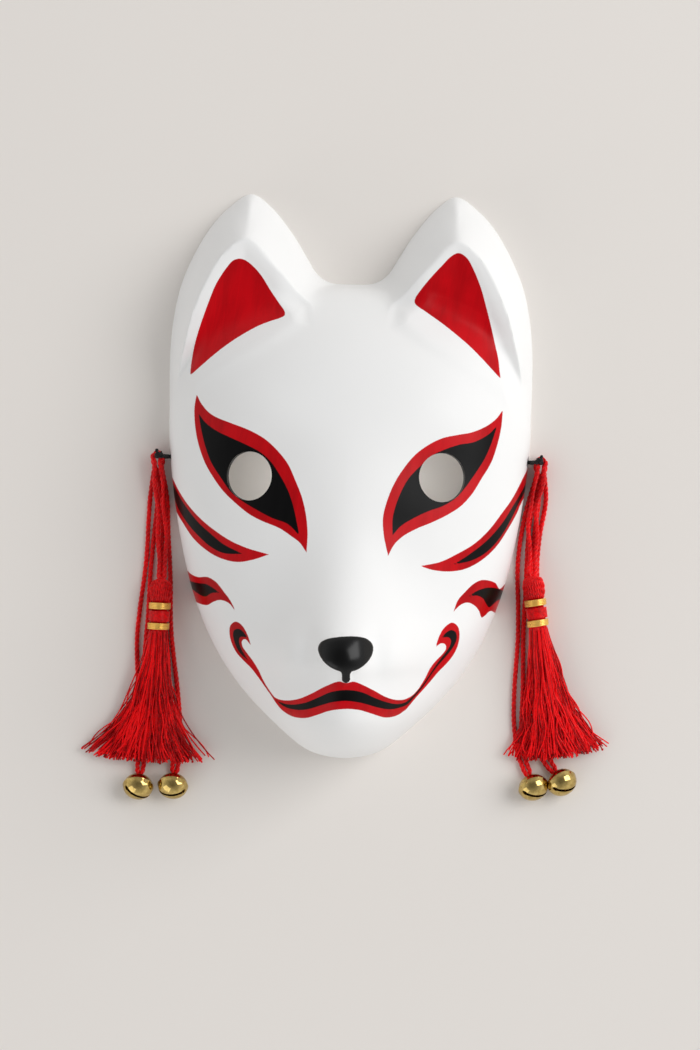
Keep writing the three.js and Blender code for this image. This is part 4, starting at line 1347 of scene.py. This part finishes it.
def head_threads():
    outline = head_outline(CORE_SHARE)[1:]
    lines = [[(r * c, down, TASSEL_HEIGHT + r * s) for down, r in outline] for c, s in around(HEAD_THREADS)]
    values = {"Diameter": 1.15 * MM, "Plies": 2, "Turn": 6 * MM, "Step": 0.5 * MM, "Finish": RED_SILK}
    return grow(TWISTED_CORD, curve_piece("lines", lines), "head", values)


def make_tassel(side):
    parts = [head_core(), head_threads()]
    skirt_values = {
        "Threads": 470, "Spread": SKIRT_WIDTHS[side] / 2, "Seed": SKIRT_SEEDS[side],
        "Thread Radius": THREAD_RADIUS, "End Knot": 0.34 * MM, "Finish": RED_SILK, "Points": 26,
        "Lean": SKIRT_LEANS[side],
    }
    loose_values = {
        **skirt_values, "Threads": 44, "Body": 15 * MM, "Wave": 3.6 * MM, "Locks": 1.2,
        "End Knot": 0.62 * MM, "Seed": LOOSE_SEEDS[side],
    }
    for values in (skirt_values, loose_values):
        skirt = grow(SKIRT, mesh_piece("start", [(0, 0, 0)], []), "skirt", values)
        skirt.data.transform(Matrix.Translation((0, NECK_START + NECK_LENGTH, 0)))
        parts.append(skirt)
    tassel = join_pieces(f"{side}_silk_tassel", parts)
    lay_in_frame(tassel, tassel_frame(side))
    return tassel


tassels = {side: make_tassel(side) for side in SIGN}
for side, tassel in tassels.items():
    print(side, "tassel faces", len(tassel.data.polygons))

# %% [markdown]
# ## Bindings of the neck
# A gold thread, a red one and a gold one again are wound round the neck, turn beside turn. The
# winding tree sweeps a small circle along a spiral.

# %% Node tree of a winding
def winding_tree():
    tree, given = new_tree("winding", "GeometryNodeTree", {
        "Geometry": "Geometry", "Radius": 0.0045, "Length": 0.0036, "Turns": 5.0, "Thread": 0.0006,
        "Finish": "Material",
    })
    spiral = tree.geometry("CurveSpiral", {
        "Resolution": 40, "Rotations": given["Turns"], "Start Radius": given["Radius"],
        "End Radius": given["Radius"], "Height": given["Length"] - given["Thread"],
    })[0]
    return tree.close_mesh(tree.tube(spiral, 8, given["Thread"] * 0.5), given["Finish"])


WINDING = winding_tree()
BAND_STARTS = {
    "upper_gold_band": CLEARANCE,
    "red_binding": 2 * CLEARANCE + GOLD_BAND_LENGTH,
    "lower_gold_band": 3 * CLEARANCE + GOLD_BAND_LENGTH + RED_BAND_LENGTH,
}


def wind_band(side, kind):
    gold = kind != "red_binding"
    length, turns = (GOLD_BAND_LENGTH, 3.8) if gold else (RED_BAND_LENGTH, 10.4)
    thread = (0.94 if gold else 0.5) * MM
    values = {
        "Radius": NECK_DIAMETER / 2 + 0.6 * MM, "Length": length, "Turns": turns, "Thread": thread,
        "Finish": GOLD_THREAD if gold else RED_SILK,
    }
    band = grow(WINDING, mesh_piece("start", [(0, 0, 0)], []), f"{side}_{kind}_thread", values)
    place = (0, NECK_START + BAND_STARTS[kind] + thread / 2, TASSEL_HEIGHT)
    upright = Matrix.Translation(place) @ Matrix.Rotation(-math.pi / 2, 4, "X")
    lay_in_frame(band, tassel_frame(side) @ upright)
    return band


bands = {(side, kind): wind_band(side, kind) for side in SIGN for kind in BAND_STARTS}
print("bands wound:", len(bands))

# %% [markdown]
# ## Bells
# A small round bell is pressed from two brass cups. The upper one carries a wire eye, and its edge is
# rolled over the lower one, which leaves a raised line round the middle. A slot with round ends lets
# the sound out. The shell is thin and hollow. The strand of the cord goes through the eye.

# %% Make the bells
BELL_WALL = 0.8 * MM
BELL_SLOT = 1.4 * MM
BELL_SLOT_LENGTH = 10.6 * MM
BELL_SLOT_END = 1.9 * MM
BELL_SEAM, SEAM_REACH = 0.22 * MM, 0.075
BELL_SHARP = math.radians(40)
BELL_TURNS = {
    ("left", "outer"): 28, ("left", "inner"): -10, ("right", "outer"): 38, ("right", "inner"): 32,
}


def brass_inputs(tree):
    streak = tree.group(STREAKS, {"Fineness": 700.0, "Stretch": 1.0, "Slant": 0.0})["Streak"]
    level = tree.span(streak, 0.4, 0.68)
    return {
        "Base Color": tree.mix(level, (0.62, 0.45, 0.16, 1), (0.42, 0.29, 0.085, 1)),
        "Metallic": 1.0,
        "Roughness": tree.span(streak, 0.35, 0.7, 0.07, 0.15),
    }


BRASS = new_finish("bell brass", brass_inputs)


def bell_body(sides=64, rows=28):
    """The hollow shell with its slot."""
    points, faces = [], []
    for outer_face, gap in ((True, 0), (False, BELL_WALL)):
        start = len(points)
        for row in range(rows + 1):
            a = math.pi * (row / rows - 0.5)
            seam = BELL_SEAM * math.exp(-((a / SEAM_REACH) ** 2)) if outer_face else 0
            radius = (BELL_DIAMETER / 2 - gap) * math.cos(a) + seam
            level = (BELL_HEIGHT / 2 - gap) * math.sin(a)
            ring = [(radius * c, level, radius * s) for c, s in around(sides)]
            points += [(0, level, 0)] if row in (0, rows) else ring
        made = ball_faces(start, rows - 1, sides)
        faces += flipped(made) if outer_face else made
    body = mesh_piece("bell", points, faces, finish=BRASS)
    low, half = -BELL_HEIGHT / 2, BELL_SLOT_LENGTH / 2
    slot = [pin((x, low, 0), (0, 1, 0), BELL_SLOT_END, BELL_HEIGHT * 0.8, 24) for x in (-half, half)]
    bar = [
        (x * half, low + y * BELL_HEIGHT * 0.4, z * BELL_SLOT / 2)
        for x in (-1, 1) for y in (-1, 1) for z in (-1, 1)
    ]
    bar_faces = [(0, 1, 3, 2), (4, 6, 7, 5), (0, 4, 5, 1), (2, 3, 7, 6), (0, 2, 6, 4), (1, 5, 7, 3)]
    cut_out(body, [*slot, (bar, bar_faces)], BELL_SHARP)
    return body


def bell_eye(turns=32, sides=12):
    ring, wire = (BELL_EYE_DIAMETER - BELL_EYE_WIRE) / 2, BELL_EYE_WIRE / 2
    points = [
        (wire * s, EYE_REACH + (ring + wire * c) * along, (ring + wire * c) * across)
        for along, across in around(turns) for c, s in around(sides)
    ]
    faces = flipped(ring_faces(0, turns, sides, closed=True))
    return mesh_piece("eye", points, faces, finish=BRASS)


def make_bell(side, kind):
    middle = cord_middle(side, f"{kind}_bell_cord")
    before, end = from_tie(side, CORD_ROUTES[side][f"{kind}_bell_cord"][-2:])
    away = end - before
    away = np.array([away[0], away[1], 0]) / np.hypot(away[0], away[1])
    body = bell_body()
    body.data.transform(Matrix.Rotation(math.radians(BELL_TURNS[side, kind]), 4, "Y"))
    bell = join_pieces(f"{side}_{kind}_brass_bell", [body, bell_eye()])
    reach = EYE_REACH * math.cos(BELL_TILT) + BELL_EYE_DIAMETER / 2 + CLEARANCE
    place = middle[-1] + away * reach
    turn = Matrix.Rotation(math.atan2(away[0], -away[1]), 4, "Z") @ Matrix.Rotation(-BELL_TILT, 4, "X")
    bell.data.transform(Matrix.Translation((place[0], place[1], BELL_REST)) @ turn)
    return bell


bells = {(side, kind): make_bell(side, kind) for side in SIGN for kind in ("outer", "inner")}
print({key: len(bell.data.polygons) for key, bell in bells.items()})

# %% [markdown]
# ## Floor and light
# The floor is a wide pale sheet. A big soft lamp stands to the right and a little above, as in the
# photograph, so the left side falls into soft grey. A weak lamp on the left and an even sky keep the
# shadows open.

# %% Set up the studio
FLOOR_HALF = 9.0
CORNERS = [(-1, -1), (1, -1), (1, 1), (-1, 1)]
UNDER_HEIGHT = 38 * MM
UNDER_INWARDS = -12 * MM


def soft_lamp(name, place, aim, size, power):
    data = bpy.data.lights.new(name, "AREA")
    data.shape, data.size, data.size_y = "RECTANGLE", *size
    data.energy = power
    lamp = new_piece(name, data)
    away = Vector(place) - Vector(aim)
    lamp.matrix_world = Matrix.Translation(place) @ away.to_track_quat("Z", "Y").to_matrix().to_4x4()
    return lamp


floor_coat = {"Base Color": (0.83, 0.79, 0.75, 1), "Roughness": 0.85, "Specular IOR Level": 0.2}
floor = mesh_piece(
    "floor", [(x * FLOOR_HALF, y * FLOOR_HALF, 0) for x, y in CORNERS], [(0, 1, 2, 3)],
    smooth=False, finish=new_finish("pale floor", lambda tree: floor_coat),
)
soft_lamp("key", (2.32, 0.84, 2.0), (0, 0, 0.04), (2.3, 2.3), 62)
soft_lamp("fill", (-1.0, -1.1, 0.8), (0, 0, 0.04), (1.2, 1.0), 3.6)
for side, (x, y) in EYE_PLACES.items():
    inwards = UNDER_INWARDS * SIGN[side]
    place, aim = (x + 2.4 * inwards, y, UNDER_HEIGHT), (x + inwards, y, 0)
    soft_lamp("under the mask", place, aim, (36 * MM, 16 * MM), 0.0095).visible_camera = False
world = bpy.data.worlds.new("sky")
world.use_nodes = True
sky = Tree(world.node_tree)
upness = sky.add("ShaderNodeSeparateXYZ", [sky.add("ShaderNodeTexCoord")["Generated"]])["Z"]
shade = sky.mix(sky.span(upness, 0.25, 0.95), (0.86, 0.86, 0.86, 1), (0.24, 0.24, 0.24, 1))
sky.put(world.node_tree.nodes["Background"], {"Color": shade})
bpy.context.scene.world = world
bpy.context.scene.view_settings.view_transform = "Standard"

# %% [markdown]
# ## Join the pieces to the solids
# Every piece rides on the one body and stands for its solid, whose own mesh is hidden. The length of
# each doubled cord's middle line is printed.

# %% Say what each piece stands for
def place_piece(piece, node):
    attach(piece, "root")
    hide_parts(node)


place_piece(mask, "mask_shell")
for side, tie in ties.items():
    place_piece(tie, f"{side}_black_tie")
for side, tassel in tassels.items():
    place_piece(tassel, f"{side}_tassel")
for (side, kind), band in bands.items():
    place_piece(band, f"{side}_{kind}")
for (side, kind), bell in bells.items():
    place_piece(bell, f"{side}_{kind}_bell")
for (side, kind), (piece, middle) in cord_pieces.items():
    place_piece(piece, f"{side}_{kind}")
    print(side, kind, round(line_length(middle), 4))
